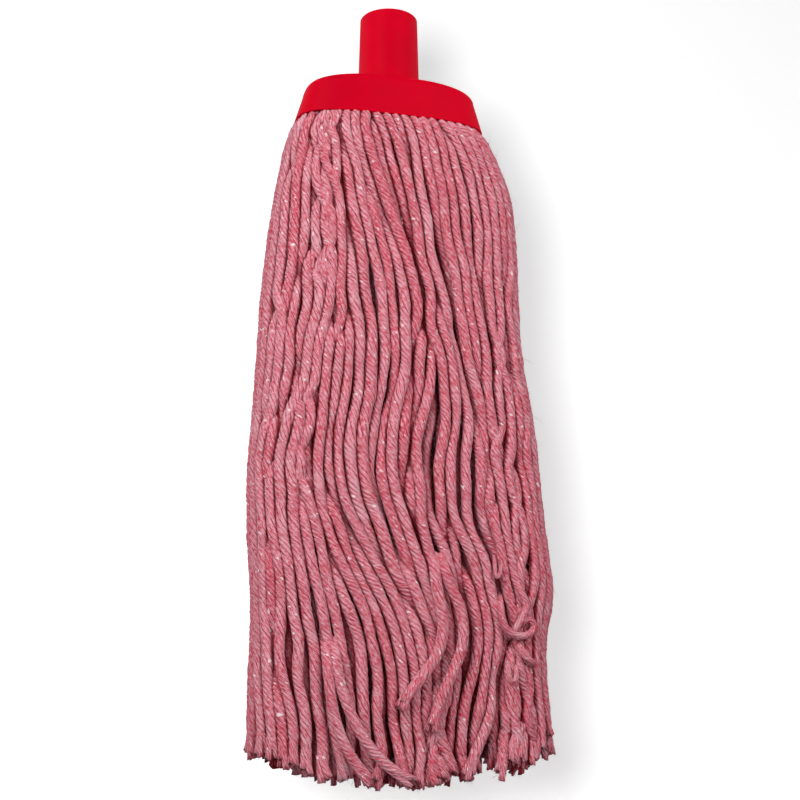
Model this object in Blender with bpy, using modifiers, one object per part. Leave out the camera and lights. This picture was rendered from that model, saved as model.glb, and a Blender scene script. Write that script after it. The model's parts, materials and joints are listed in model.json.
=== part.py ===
"""String mop head: a moulded cap with a handle socket, a bar that clamps the folded yarn
inside the cap, and locks of cut yarn that hang from the slot around the bar.

Metres, +Z up along the handle socket. The origin is the middle of the socket's mouth,
X runs along the cap and -Y is its front.
"""

import bisect
import math

import bmesh
import bpy
from mathutils import Vector

MOP = "string_mop"
CUTTERS = "string_mop_cutters"

# Handle socket
BORE_DIAMETER = 0.025
BORE_FLOOR = 0.004
SOCKET_WALL = 0.003
SOCKET_HEIGHT = 0.042
SOCKET_FLARE = 0.0009
SOCKET_FOOT_FILLET = 0.003
RIM_ROUND = 0.0007

# Cap
LIP_LENGTH = 0.102
LIP_WIDTH = 0.044
ROOF_LENGTH = 0.089
ROOF_WIDTH = 0.042
CAP_HEIGHT = 0.0228
CAP_WALL = 0.0024
ROOF_WALL = 0.0025
SHOULDER_ROUND = 0.005
OUTLINE_POWER = 3.0

# Clamp bar, its bosses and screws
SLOT_WIDTH = 0.0096
BAR_THICKNESS = 0.0065
BAR_RECESS = 0.0012
BOSS_SPACING = 0.056
BOSS_DIAMETER = 0.008
SCREW_DIAMETER = 0.0035
SCREW_BITE = 0.007
SCREW_TIP = 0.002
SCREW_HEAD_DIAMETER = 0.007
SCREW_HEAD_HEIGHT = 0.0024

# Strings
STRING_LENGTH = 0.339
END_ARC = 0.016
LEFT_SPREAD = 0.0218
LEFT_EASE = 0.045
RIGHT_SPREAD = 0.0225
RIGHT_EASE = 0.028
RIGHT_SWELL = 0.0135
SWELL_START = 0.110
SWELL_END = 0.225
DEPTH_SPREAD = 0.0056
DEPTH_EASE = 0.040
CORE_HALF_GAP = 0.0045
CORE_EASE = 0.030
LOCKS_PER_BODY = 3
LOCK_GAP = 0.0008
LOCK_SQUARENESS = 8.0
HINGE_DROP = 0.0063
HINGE_SLOT_SHARE = 0.4
SWING_DEGREES = 60.0

# Clearances between pieces
SEAT_GAP = 0.0003
YARN_GAP = 0.0004
SCREW_GAP = 0.0003
CUT_OVERRUN = 0.002
WELD = 0.00001

# Facets
CAP_SEGMENTS = 48
SOCKET_SEGMENTS = 48
SCREW_SEGMENTS = 20
ROUND_STEPS = 4
LOCK_SIDES = 12
LOCK_ROWS = 12
LOCK_ROW_CROWDING = 1.6
OUTLINE_SAMPLES = 720

# Levels and radii that follow from the sizes
SOCKET_RADIUS = BORE_DIAMETER / 2 + SOCKET_WALL
FOOT_RADIUS = SOCKET_RADIUS + SOCKET_FLARE
ROOF_Z = -SOCKET_HEIGHT
CEILING_Z = ROOF_Z - ROOF_WALL
LIP_Z = ROOF_Z - CAP_HEIGHT
BAR_BOTTOM_Z = LIP_Z + BAR_RECESS
BAR_TOP_Z = BAR_BOTTOM_Z + BAR_THICKNESS
HEAD_SEAT_Z = BAR_BOTTOM_Z + SCREW_HEAD_HEIGHT
HINGE_Z = LIP_Z - HINGE_DROP
KNUCKLE_RADIUS = HINGE_DROP - SEAT_GAP
SWING = math.radians(SWING_DEGREES)

BODY_NAMES = (
    "front_right",
    "right_front_corner",
    "right_rear_corner",
    "rear_right",
    "rear_left",
    "left_rear_corner",
    "left_front_corner",
    "front_left",
)

RED_PLASTIC = ("red_plastic", (0.62, 0.004, 0.018), 0.35, 0.0)
BAR_PLASTIC = ("bar_plastic", (0.40, 0.010, 0.020), 0.55, 0.0)
ZINC_STEEL = ("zinc_steel", (0.62, 0.62, 0.60), 0.35, 1.0)
PINK_YARN = ("pink_yarn", (0.58, 0.20, 0.24), 0.9, 0.0)


def clear_scene():
    for old in list(bpy.data.objects):
        bpy.data.objects.remove(old, do_unlink=True)


def new_collection(name):
    collection = bpy.data.collections.new(name)
    bpy.context.scene.collection.children.link(collection)
    return collection


def material(name, colour, roughness, metallic):
    """A Principled material, made once for each name."""
    found = bpy.data.materials.get(name)
    if found:
        return found
    made = bpy.data.materials.new(name)
    made.use_nodes = True
    shader = made.node_tree.nodes["Principled BSDF"]
    shader.inputs["Base Color"].default_value = (*colour, 1.0)
    shader.inputs["Roughness"].default_value = roughness
    shader.inputs["Metallic"].default_value = metallic
    return made


def object_from(shape, name, collection):
    """Turns a bmesh into an object of the collection, its faces pointing out."""
    shape.normal_update()
    bmesh.ops.recalc_face_normals(shape, faces=shape.faces)
    mesh = bpy.data.meshes.new(name)
    shape.to_mesh(mesh)
    shape.free()
    made = bpy.data.objects.new(name, mesh)
    collection.objects.link(made)
    return made


def as_part(made, finish):
    made.data.materials.append(material(*finish))
    made.data.shade_smooth()
    made.data.set_sharp_from_angle(angle=math.radians(35))
    return made


def as_cutter(made):
    made.hide_render = True
    made.display_type = "WIRE"
    return made


def boolean(target, operation, other):
    step = target.modifiers.new(f"{operation.lower()}_{other.name}", "BOOLEAN")
    step.operation = operation
    step.solver = "EXACT"
    step.object = other


def outline(half_length, half_width, angle):
    """A point on the cap's rounded oblong outline."""
    across, along = math.cos(angle), math.sin(angle)
    power = 2 / OUTLINE_POWER
    return Vector((
        half_length * math.copysign(abs(across) ** power, across),
        half_width * math.copysign(abs(along) ** power, along),
    ))


def outline_angles(half_length, half_width, shares):
    """The outline's angles at shares of its perimeter, counter-clockwise from the front's middle."""
    angles = [math.tau * i / OUTLINE_SAMPLES - math.pi / 2 for i in range(OUTLINE_SAMPLES + 1)]
    points = [outline(half_length, half_width, angle) for angle in angles]
    lengths = [0.0]
    for before, after in zip(points, points[1:]):
        lengths.append(lengths[-1] + (after - before).length)
    found = []
    for share in shares:
        wanted = share * lengths[-1]
        i = min(max(bisect.bisect_right(lengths, wanted), 1), OUTLINE_SAMPLES)
        part = (wanted - lengths[i - 1]) / (lengths[i] - lengths[i - 1])
        found.append(angles[i - 1] + part * (angles[i] - angles[i - 1]))
    return found


def cap_half_sizes(z, inset):
    """Half length and half width of the cap at a height, drawn in by a wall."""
    down = (ROOF_Z - z) / CAP_HEIGHT
    length = ROOF_LENGTH + (LIP_LENGTH - ROOF_LENGTH) * down
    width = ROOF_WIDTH + (LIP_WIDTH - ROOF_WIDTH) * down
    return length / 2 - inset, width / 2 - inset


def oblong(name, collection, low, high, half_sizes, rounding=0.0):
    """A block with the cap's outline between two heights. half_sizes gives its size at a height."""
    shape = bmesh.new()
    bmesh.ops.create_cone(
        shape, cap_ends=True, segments=CAP_SEGMENTS, radius1=1.0, radius2=1.0, depth=1.0
    )
    shares = [i / CAP_SEGMENTS for i in range(CAP_SEGMENTS)]
    angles = outline_angles(*half_sizes(high), shares)
    for vert in shape.verts:
        turn = math.atan2(vert.co.y, vert.co.x) / math.tau
        angle = angles[round(turn * CAP_SEGMENTS) % CAP_SEGMENTS]
        z = high if vert.co.z > 0 else low
        vert.co = outline(*half_sizes(z), angle).to_3d() + Vector((0, 0, z))
    if rounding:
        shape.normal_update()
        middle = (low + high) / 2
        rim = [edge for edge in shape.edges if min(vert.co.z for vert in edge.verts) > middle]
        bmesh.ops.bevel(
            shape, geom=rim, offset=rounding, segments=ROUND_STEPS, profile=0.5, affect="EDGES"
        )
    return object_from(shape, name, collection)


def upright_cylinder(name, collection, x, radius, low, high, segments=SCREW_SEGMENTS):
    shape = bmesh.new()
    bmesh.ops.create_cone(
        shape, cap_ends=True, segments=segments, radius1=radius, radius2=radius, depth=high - low
    )
    bmesh.ops.translate(shape, verts=shape.verts, vec=(x, 0, (low + high) / 2))
    return object_from(shape, name, collection)


def turned(name, collection, profile, x=0.0, segments=SOCKET_SEGMENTS):
    """A profile of radius and height, from the top down its outer side, turned about Z."""
    mesh = bpy.data.meshes.new(name)
    edges = [(i, i + 1) for i in range(len(profile) - 1)]
    mesh.from_pydata([(radius, 0, z) for radius, z in profile], edges, [])
    made = bpy.data.objects.new(name, mesh)
    made.location.x = x
    collection.objects.link(made)
    turn = made.modifiers.new("turn", "SCREW")
    turn.axis = "Z"
    turn.angle = math.tau
    turn.steps = segments
    turn.render_steps = segments
    turn.use_merge_vertices = True
    turn.merge_threshold = WELD
    return made


def arc(centre, radius, start, end):
    """Points of a profile along a quarter round, angles in degrees."""
    turns = [math.radians(start + (end - start) * i / ROUND_STEPS) for i in range(ROUND_STEPS + 1)]
    return [(centre[0] + radius * math.cos(t), centre[1] + radius * math.sin(t)) for t in turns]


def make_socket_cap(parts, cutters):
    """The cap's shell, its handle socket and the two screw bosses, one moulding."""
    cap = oblong(
        "socket_cap", parts, LIP_Z, ROOF_Z, lambda z: cap_half_sizes(z, 0), SHOULDER_ROUND
    )
    foot_z = ROOF_Z - ROOF_WALL / 2
    foot_centre = (FOOT_RADIUS + SOCKET_FOOT_FILLET, ROOF_Z + SOCKET_FOOT_FILLET)
    profile = [(0, 0)]
    profile += arc((SOCKET_RADIUS - RIM_ROUND, -RIM_ROUND), RIM_ROUND, 90, 0)
    profile += arc(foot_centre, SOCKET_FOOT_FILLET, 180, 270)
    profile += [(foot_centre[0], foot_z), (0, foot_z)]
    boolean(cap, "UNION", as_cutter(turned("socket_body", cutters, profile)))
    hollow = oblong(
        "cap_hollow", cutters, LIP_Z - CUT_OVERRUN, CEILING_Z, lambda z: cap_half_sizes(z, CAP_WALL)
    )
    boolean(cap, "DIFFERENCE", as_cutter(hollow))
    for side, x in boss_places():
        boss = upright_cylinder(
            f"boss_{side}", cutters, x, BOSS_DIAMETER / 2, BAR_TOP_Z + SEAT_GAP, ROOF_Z - ROOF_WALL / 2
        )
        boolean(cap, "UNION", as_cutter(boss))
    bore = upright_cylinder(
        "handle_bore", cutters, 0, BORE_DIAMETER / 2, CEILING_Z + BORE_FLOOR, CUT_OVERRUN, SOCKET_SEGMENTS
    )
    boolean(cap, "DIFFERENCE", as_cutter(bore))
    for side, x in boss_places():
        pilot = upright_cylinder(
            f"pilot_{side}",
            cutters,
            x,
            SCREW_DIAMETER / 2 + SCREW_GAP,
            BAR_TOP_Z - CUT_OVERRUN,
            BAR_TOP_Z + SCREW_BITE + SCREW_GAP,
        )
        boolean(cap, "DIFFERENCE", as_cutter(pilot))
    return as_part(cap, RED_PLASTIC)


def boss_places():
    return (("left", -BOSS_SPACING / 2), ("right", BOSS_SPACING / 2))


def bar_half_sizes(extra=0.0):
    length, width = cap_half_sizes(LIP_Z, CAP_WALL + SLOT_WIDTH)
    return length + extra, width + extra


def make_clamp_bar(parts, cutters):
    """The bar that presses the folded yarn against the ceiling, with recessed screw holes."""
    bar = oblong("clamp_bar", parts, BAR_BOTTOM_Z, BAR_TOP_Z, lambda z: bar_half_sizes())
    for side, x in boss_places():
        hole = upright_cylinder(
            f"bar_hole_{side}",
            cutters,
            x,
            SCREW_DIAMETER / 2 + SCREW_GAP,
            BAR_BOTTOM_Z - CUT_OVERRUN,
            BAR_TOP_Z + CUT_OVERRUN,
        )
        boolean(bar, "DIFFERENCE", as_cutter(hole))
        recess = upright_cylinder(
            f"head_recess_{side}",
            cutters,
            x,
            SCREW_HEAD_DIAMETER / 2 + SCREW_GAP,
            BAR_BOTTOM_Z - CUT_OVERRUN,
            HEAD_SEAT_Z + SCREW_GAP,
        )
        boolean(bar, "DIFFERENCE", as_cutter(recess))
    return as_part(bar, BAR_PLASTIC)


def make_clamp_screws(parts):
    """Pan-headed screws driven up through the bar into the cap's bosses."""
    shank = SCREW_DIAMETER / 2
    head = SCREW_HEAD_DIAMETER / 2
    tip_z = BAR_TOP_Z + SCREW_BITE
    for side, x in boss_places():
        profile = [(0, tip_z), (shank / 3, tip_z), (shank, tip_z - SCREW_TIP), (shank, HEAD_SEAT_Z)]
        profile += [(head, HEAD_SEAT_Z)]
        profile += arc((head - RIM_ROUND, BAR_BOTTOM_Z + RIM_ROUND), RIM_ROUND, 0, -90)
        profile += [(0, BAR_BOTTOM_Z)]
        as_part(turned(f"clamp_screw_{side}", parts, profile, x, SCREW_SEGMENTS), ZINC_STEEL)


def make_yarn_folds(parts, cutters):
    """The yarn folded over the bar: it fills the cap's hollow on each side of the bosses."""
    bar_room = oblong(
        "bar_room",
        cutters,
        LIP_Z - CUT_OVERRUN,
        BAR_TOP_Z + SEAT_GAP,
        lambda z: bar_half_sizes(SEAT_GAP),
    )
    as_cutter(bar_room)
    inner = BOSS_SPACING / 2 - BOSS_DIAMETER / 2 - YARN_GAP
    outer = BOSS_SPACING / 2 + BOSS_DIAMETER / 2 + YARN_GAP
    stretches = (
        ("left", -LIP_LENGTH, -outer),
        ("centre", -inner, inner),
        ("right", outer, LIP_LENGTH),
    )
    for side, start, end in stretches:
        fold = oblong(
            f"yarn_fold_{side}",
            parts,
            LIP_Z,
            CEILING_Z - SEAT_GAP,
            lambda z: cap_half_sizes(z, CAP_WALL + YARN_GAP),
        )
        shape = bmesh.new()
        bmesh.ops.create_cube(shape, size=1.0)
        bmesh.ops.scale(shape, verts=shape.verts, vec=(end - start, LIP_WIDTH * 2, CAP_HEIGHT * 4))
        bmesh.ops.translate(shape, verts=shape.verts, vec=((start + end) / 2, 0, LIP_Z))
        stretch = as_cutter(object_from(shape, f"fold_stretch_{side}", cutters))
        boolean(fold, "INTERSECT", stretch)
        boolean(fold, "DIFFERENCE", bar_room)
        as_part(fold, PINK_YARN)


def eased(drop, length):
    """Goes from 0 at the lip towards 1, most of the way within a length."""
    return 1 - math.exp(-max(drop, 0) / length)


def bundle_sizes(drop):
    """Left, right and front half sizes of the bundle, and of its hollow core, at a drop below the lip."""
    length, width = cap_half_sizes(LIP_Z, CAP_WALL + YARN_GAP)
    swell = min(max((drop - SWELL_START) / (SWELL_END - SWELL_START), 0), 1)
    left = length + LEFT_SPREAD * eased(drop, LEFT_EASE)
    right = length + RIGHT_SPREAD * eased(drop, RIGHT_EASE) + RIGHT_SWELL * swell
    front = width + DEPTH_SPREAD * eased(drop, DEPTH_EASE)
    bar_edge = bar_half_sizes(YARN_GAP)[1]
    core = bar_edge + (CORE_HALF_GAP - bar_edge) * eased(drop, CORE_EASE)
    return left, right, front, core


def ring_point(angle, outward, drop):
    """A point of the bundle: outward is 0 at its hollow core and 1 at its surface."""
    left, right, front, core = bundle_sizes(drop)
    half = right if math.cos(angle) > 0 else left
    inset = (1 - outward) * (front - core)
    return outline(half - inset, front - inset, angle)


def slot_angles(shares):
    length, width = cap_half_sizes(LIP_Z, CAP_WALL + SLOT_WIDTH * (1 - HINGE_SLOT_SHARE))
    return outline_angles(length, width, shares)


def hinge_of(body):
    """A point on the hinge of a body of strings, and the way its strings swing out."""
    count = len(BODY_NAMES)
    ends = slot_angles([body / count, (body + 0.5) / count, (body + 1) / count])
    start, middle, end = (ring_point(angle, HINGE_SLOT_SHARE, 0) for angle in ends)
    chord = (end - start).normalized()
    place = (start + end + 2 * middle) / 4
    return Vector((place.x, place.y, HINGE_Z)), Vector((chord.y, -chord.x, 0))


def root_z(reach):
    """Height of a lock's rounded root at a reach outward of its hinge. It clears the lip all the way out."""
    if reach > KNUCKLE_RADIUS * math.sin(SWING):
        return HINGE_Z + (KNUCKLE_RADIUS - reach * math.sin(SWING)) / math.cos(SWING)
    return HINGE_Z + math.sqrt(max(KNUCKLE_RADIUS**2 - reach**2, 0))


def swing_reach(z):
    """How far outward of the hinge a lock may reach at a height and still clear the lip when it swings."""
    return (KNUCKLE_RADIUS + (HINGE_Z - z) * math.cos(SWING)) / math.sin(SWING)


def seams_of(body):
    """The upright planes that part a body of strings from its neighbours: a point and the way in."""
    count = len(BODY_NAMES)
    seams = []
    for side, angle in zip((1, -1), slot_angles([body / count, (body + 1) / count])):
        inner, outer = ring_point(angle, 0, 0), ring_point(angle, 1, 0)
        out = (outer - inner).normalized()
        seams.append((inner, Vector((-out.y, out.x)) * side))
    return seams


def clear_of_seams(flat, seams, way):
    """A root's point, moved off the seams by as much as it tips towards them when the strings swing."""
    tip = 2 * KNUCKLE_RADIUS * math.sin(SWING / 2)
    for place, inside in seams:
        room = LOCK_GAP / 2 + tip * max(way.xy.dot(inside), 0)
        flat = flat + inside * max(room - (flat - place).dot(inside), 0)
    return flat


def lock_point(across, outward, down, angles, hinge, way, seams):
    """A point of a lock from its place across, outward and down in it, each from 0 to 1."""
    angle = angles[0] + (angles[1] - angles[0]) * across
    half = bundle_sizes(STRING_LENGTH)[0]
    drop = HINGE_DROP + (STRING_LENGTH - HINGE_DROP) * down
    flat = ring_point(angle, outward, drop)
    drop -= END_ARC * down * min(abs(flat.x) / half, 1) ** 2
    z = LIP_Z - drop
    if down == 0:
        flat = clear_of_seams(flat, seams, way)
        z = root_z((flat - hinge.xy).dot(way.xy))
    reach = (flat - hinge.xy).dot(way.xy)
    flat -= way.xy * max(reach - swing_reach(z), 0)
    return flat.to_3d() + Vector((0, 0, z))


def make_lock(name, parts, angles, hinge, way, seams):
    """One lock of strings, from its rounded root to its cut end. Its origin is on the hinge."""
    shape = bmesh.new()
    bmesh.ops.create_cone(
        shape, cap_ends=True, segments=LOCK_SIDES, radius1=1.0, radius2=1.0, depth=1.0
    )
    runs = [edge for edge in shape.edges if edge.verts[0].co.z * edge.verts[1].co.z < 0]
    bmesh.ops.subdivide_edges(shape, edges=runs, cuts=LOCK_ROWS - 1, use_grid_fill=False)
    power = 2 / LOCK_SQUARENESS
    for vert in shape.verts:
        turn = math.atan2(vert.co.y, vert.co.x)
        across = math.copysign(abs(math.cos(turn)) ** power, math.cos(turn)) / 2 + 0.5
        outward = math.copysign(abs(math.sin(turn)) ** power, math.sin(turn)) / 2 + 0.5
        row = round((0.5 - vert.co.z) * LOCK_ROWS)
        down = (row / LOCK_ROWS) ** LOCK_ROW_CROWDING
        vert.co = lock_point(across, outward, down, angles, hinge, way, seams) - hinge
    lock = object_from(shape, name, parts)
    return as_part(lock, PINK_YARN)


def make_strings(parts):
    """Locks all around the slot, each group of them hung from an empty on its hinge."""
    count = len(BODY_NAMES) * LOCKS_PER_BODY
    length, width = cap_half_sizes(LIP_Z, CAP_WALL + SLOT_WIDTH)
    core_perimeter = 4 * (length + width) - (8 - math.tau) * width
    gap_share = LOCK_GAP / core_perimeter / 2
    for body, body_name in enumerate(BODY_NAMES):
        hinge, way = hinge_of(body)
        pivot = bpy.data.objects.new(f"{body_name}_hinge", None)
        pivot.location = hinge
        pivot.empty_display_size = HINGE_DROP
        parts.objects.link(pivot)
        for i in range(LOCKS_PER_BODY):
            lock = body * LOCKS_PER_BODY + i
            angles = slot_angles([lock / count + gap_share, (lock + 1) / count - gap_share])
            made = make_lock(f"{body_name}_lock_{i + 1}", parts, angles, hinge, way, seams_of(body))
            made.parent = pivot


def main():
    clear_scene()
    parts = new_collection(MOP)
    cutters = new_collection(CUTTERS)
    make_socket_cap(parts, cutters)
    make_clamp_bar(parts, cutters)
    make_clamp_screws(parts)
    make_yarn_folds(parts, cutters)
    make_strings(parts)


if __name__ == "__main__":
    main()
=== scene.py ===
"""Dresses the frame of a string mop head: twisted cotton yarn, a moulded cap and a white stage."""

import json
import math
import random
from collections import namedtuple

import bmesh
import bpy
import numpy as np
from bpy.props import FloatProperty, FloatVectorProperty, IntProperty, PointerProperty
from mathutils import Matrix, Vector


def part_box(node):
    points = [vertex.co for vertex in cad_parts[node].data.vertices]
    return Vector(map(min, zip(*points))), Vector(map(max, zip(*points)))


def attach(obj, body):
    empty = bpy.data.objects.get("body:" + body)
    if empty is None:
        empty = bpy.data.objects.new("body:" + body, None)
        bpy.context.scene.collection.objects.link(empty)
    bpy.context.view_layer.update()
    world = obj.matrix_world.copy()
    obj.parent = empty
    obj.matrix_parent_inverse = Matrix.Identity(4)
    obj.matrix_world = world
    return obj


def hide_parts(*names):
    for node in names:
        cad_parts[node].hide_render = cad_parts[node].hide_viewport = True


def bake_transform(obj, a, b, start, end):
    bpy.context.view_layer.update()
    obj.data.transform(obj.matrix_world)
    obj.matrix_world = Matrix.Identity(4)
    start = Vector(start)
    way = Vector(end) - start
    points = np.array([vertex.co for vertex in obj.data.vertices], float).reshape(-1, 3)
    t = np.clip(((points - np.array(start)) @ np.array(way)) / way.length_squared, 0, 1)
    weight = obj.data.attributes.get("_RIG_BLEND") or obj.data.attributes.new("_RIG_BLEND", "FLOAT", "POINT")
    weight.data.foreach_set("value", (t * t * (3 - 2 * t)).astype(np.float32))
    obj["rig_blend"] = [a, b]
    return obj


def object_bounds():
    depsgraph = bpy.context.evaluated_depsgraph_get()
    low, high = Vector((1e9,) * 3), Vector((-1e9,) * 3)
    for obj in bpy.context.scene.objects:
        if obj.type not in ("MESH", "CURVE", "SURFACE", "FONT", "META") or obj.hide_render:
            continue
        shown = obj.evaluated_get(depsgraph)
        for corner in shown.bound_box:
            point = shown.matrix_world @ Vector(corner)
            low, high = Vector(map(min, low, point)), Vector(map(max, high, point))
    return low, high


bl_info = {
    "name": "String mop head",
    "version": (1, 0, 0),
    "blender": (4, 5, 0),
    "location": "View3D > Sidebar > Mop",
    "description": "Builds the visible pieces of a string mop head around its frame",
    "category": "Object",
}

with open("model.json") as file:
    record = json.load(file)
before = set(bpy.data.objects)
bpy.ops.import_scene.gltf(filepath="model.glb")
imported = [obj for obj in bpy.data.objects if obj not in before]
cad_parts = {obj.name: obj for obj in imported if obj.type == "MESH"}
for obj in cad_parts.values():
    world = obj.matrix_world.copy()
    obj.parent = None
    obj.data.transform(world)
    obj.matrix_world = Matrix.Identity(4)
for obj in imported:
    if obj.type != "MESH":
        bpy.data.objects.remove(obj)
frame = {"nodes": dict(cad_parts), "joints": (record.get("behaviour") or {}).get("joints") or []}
cad_box = [list(corner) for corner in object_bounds()]
LOCK_NODES = [name for name in frame["nodes"] if "_lock_" in name]
FOLD_NODES = [name for name in frame["nodes"] if name.startswith("yarn_fold_")]
SCREW_NODES = [name for name in frame["nodes"] if name.startswith("clamp_screw_")]
HINGES = {joint["child"]: joint for joint in frame["joints"]}
LIP_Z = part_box("socket_cap")[0].z
BAR_TOP_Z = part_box("clamp_bar")[1].z
STRING_END_Z = cad_box[0][2]

TINY = 1e-9
FEWEST_POINTS = 4
PLY_FLANK = 0.97
OPENED_LAYERS = 2
CENTIMETRES_PER_METRE = 100

# The strands' courses over the face that the picture shows, as columns of the picture at these rows.
# A band's strands keep together. Those of a sunk band lie behind their neighbours above its row.
PICTURE_SIZE = 800
COURSE_ROWS = (115, 150, 190, 230, 270, 310, 350, 390, 430, 470, 510, 550, 590, 630, 670, 710, 750)
LEFT_EDGE = (296, 287, 277, 270, 265, 260, 258, 255, 252, 248, 247, 248, 251, 251, 249, 247, 246)
RIGHT_EDGE = (480, 492, 513, 518, 521, 522, 525, 532, 540, 544, 548, 554, 560, 551, 551, 555, 558)
COURSE_A = (303, 292, 287, 282, 276, 273, 270, 264, 258, 255, 256, 259, 262, 263, 264, 268, 272)
COURSE_B = (317, 317, 313, 309, 303, 293, 286, 282, 271, 265, 266, 270, 275, 277, 279, 287, 294)
COURSE_C = (319, 320, 316, 312, 309, 299, 289, 289, 279, 268, 270, 274, 280, 284, 287, 295, 302)
COURSE_D = (325, 325, 321, 319, 317, 311, 305, 301, 290, 288, 295, 301, 310, 320, 323, 325, 329)
COURSE_E = (328, 327, 327, 330, 334, 339, 344, 341, 333, 328, 340, 362, 388, 404, 416, 416, 424)
COURSE_F = (332, 332, 337, 343, 346, 351, 358, 360, 352, 351, 361, 378, 400, 418, 430, 430, 437)
COURSE_G = (337, 340, 352, 362, 370, 376, 378, 375, 363, 360, 375, 391, 411, 431, 437, 436, 440)
COURSE_H = (344, 350, 367, 384, 394, 399, 404, 400, 390, 389, 396, 408, 428, 443, 445, 441, 443)
COURSE_I = (360, 370, 384, 401, 415, 424, 416, 411, 404, 405, 413, 425, 440, 450, 450, 444, 445)
COURSE_J = (375, 390, 402, 414, 421, 428, 434, 428, 421, 418, 421, 430, 446, 458, 456, 447, 447)
COURSE_K = (377, 392, 405, 417, 423, 430, 437, 443, 434, 426, 431, 452, 466, 473, 470, 453, 449)
COURSE_L = (405, 416, 424, 433, 443, 453, 462, 471, 473, 472, 472, 488, 500, 507, 504, 498, 494)
COURSE_M = (407, 418, 428, 438, 449, 463, 471, 480, 483, 484, 489, 508, 520, 522, 518, 515, 512)
COURSE_N = (432, 446, 456, 461, 467, 474, 483, 492, 501, 504, 509, 519, 529, 531, 529, 527, 526)
COURSE_O = (455, 478, 491, 496, 500, 504, 509, 514, 518, 521, 525, 530, 537, 538, 537, 538, 538)
BANDS = (
    (0, (LEFT_EDGE, COURSE_A, COURSE_B)),
    (275, (COURSE_C, COURSE_D)),
    (0, (COURSE_D, COURSE_E, COURSE_F, COURSE_G, COURSE_H, COURSE_I)),
    (330, (COURSE_I, COURSE_J)),
    (0, (COURSE_K, COURSE_L)),
    (0, (COURSE_M, COURSE_N, COURSE_O, RIGHT_EDGE)),
)

# Strands that have worked loose and lie over the others: thickness against the rest, whether the lower end
# is tucked in again, and the course as columns and rows of the picture.
LOOSE_STRANDS = {
    "swept_end": (1.0, False, (
        (434, 556), (435, 572), (437, 589), (441, 606), (444, 624), (442, 640), (439, 652), (433, 663),
        (423, 675), (416, 685), (408, 695), (401, 706),
    )),
    "long_sweep": (0.95, False, (
        (440, 556), (445, 572), (454, 594), (461, 606), (464, 629), (463, 646), (459, 658), (454, 669),
        (449, 681), (444, 692), (439, 704), (434, 719), (432, 732),
    )),
    "side_loop": (0.62, True, (
        (499, 596), (501, 609), (502, 620), (505, 628), (510, 634), (518, 637), (527, 636), (534, 632),
        (536, 625), (533, 619), (527, 617), (521, 622), (517, 632),
    )),
    "side_yarn": (0.60, True, (
        (513, 578), (519, 589), (525, 597), (528, 605), (525, 613), (520, 622), (514, 631), (508, 637),
    )),
    "low_loop": (0.45, True, (
        (507, 660), (508, 668), (509, 677), (511, 685), (515, 685), (517, 678), (517, 671), (514, 664),
    )),
    "high_loop": (0.36, True, (
        (494, 556), (495, 566), (495, 576), (496, 582), (499, 579), (501, 571), (500, 560),
    )),
    "low_sweep": (0.92, False, (
        (333, 640), (336, 660), (340, 684), (346, 702), (353, 719), (362, 736), (372, 750), (383, 762),
        (396, 773), (411, 781),
    )),
    "second_sweep": (0.9, False, (
        (325, 640), (327, 662), (330, 690), (333, 710), (338, 729), (345, 746), (354, 761), (363, 774),
        (371, 783),
    )),
    "side_end": (0.7, False, (
        (514, 640), (521, 650), (527, 658), (532, 664),
    )),
}


class MopYarnSettings(bpy.types.PropertyGroup):
    """Sizes and colours of the yarn"""

    diameter: FloatProperty(
        name="Strand diameter", description="Across the plies of one strand", default=0.0057, unit="LENGTH"
    )
    plies: IntProperty(name="Plies", description="Plies twisted into one strand", default=6)
    ply_groove: FloatProperty(
        name="Ply groove", description="Depth between two plies, as a share of the radius", default=0.22
    )
    pitch: FloatProperty(
        name="Twist pitch", description="Length in which a ply goes once round", default=0.0215, unit="LENGTH"
    )
    outer: IntProperty(name="Outer strands", description="Outer strands in each lock", default=3)
    middle: IntProperty(name="Middle strands", description="Strands in each lock's second layer", default=2)
    inner: IntProperty(name="Inner strands", description="Strands in each lock's core", default=2)
    fibres: IntProperty(name="Loose fibres", description="Loose fibres on each strand", default=20)
    level: FloatProperty(
        name="Level step", description="Height between the levels at which strands settle", default=0.004,
        unit="LENGTH",
    )
    bend: FloatProperty(
        name="Bend length", description="Length below the lip over which swung strings bend", default=0.034,
        unit="LENGTH",
    )
    pale: FloatVectorProperty(
        name="Pale fibre", description="Colour of the pale cotton", default=(0.685, 0.340, 0.395),
        subtype="COLOR",
    )
    deep: FloatVectorProperty(
        name="Red fibre", description="Colour of the dyed cotton", default=(0.52, 0.050, 0.085),
        subtype="COLOR",
    )
    # Painted shade in the grooves between the plies.
    groove: FloatVectorProperty(
        name="Groove", description="Colour between the plies", default=(0.26, 0.012, 0.030), subtype="COLOR"
    )
    # Painted shade: the dark colour that a strand is painted toward where other yarn covers it, deep between
    # the strands.
    shade: FloatVectorProperty(
        name="Depth", description="Colour deep between the strands", default=(0.20, 0.002, 0.008),
        subtype="COLOR",
    )
    fleck: FloatVectorProperty(
        name="Fleck", description="Colour of undyed flecks", default=(0.76, 0.63, 0.65), subtype="COLOR"
    )


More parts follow.
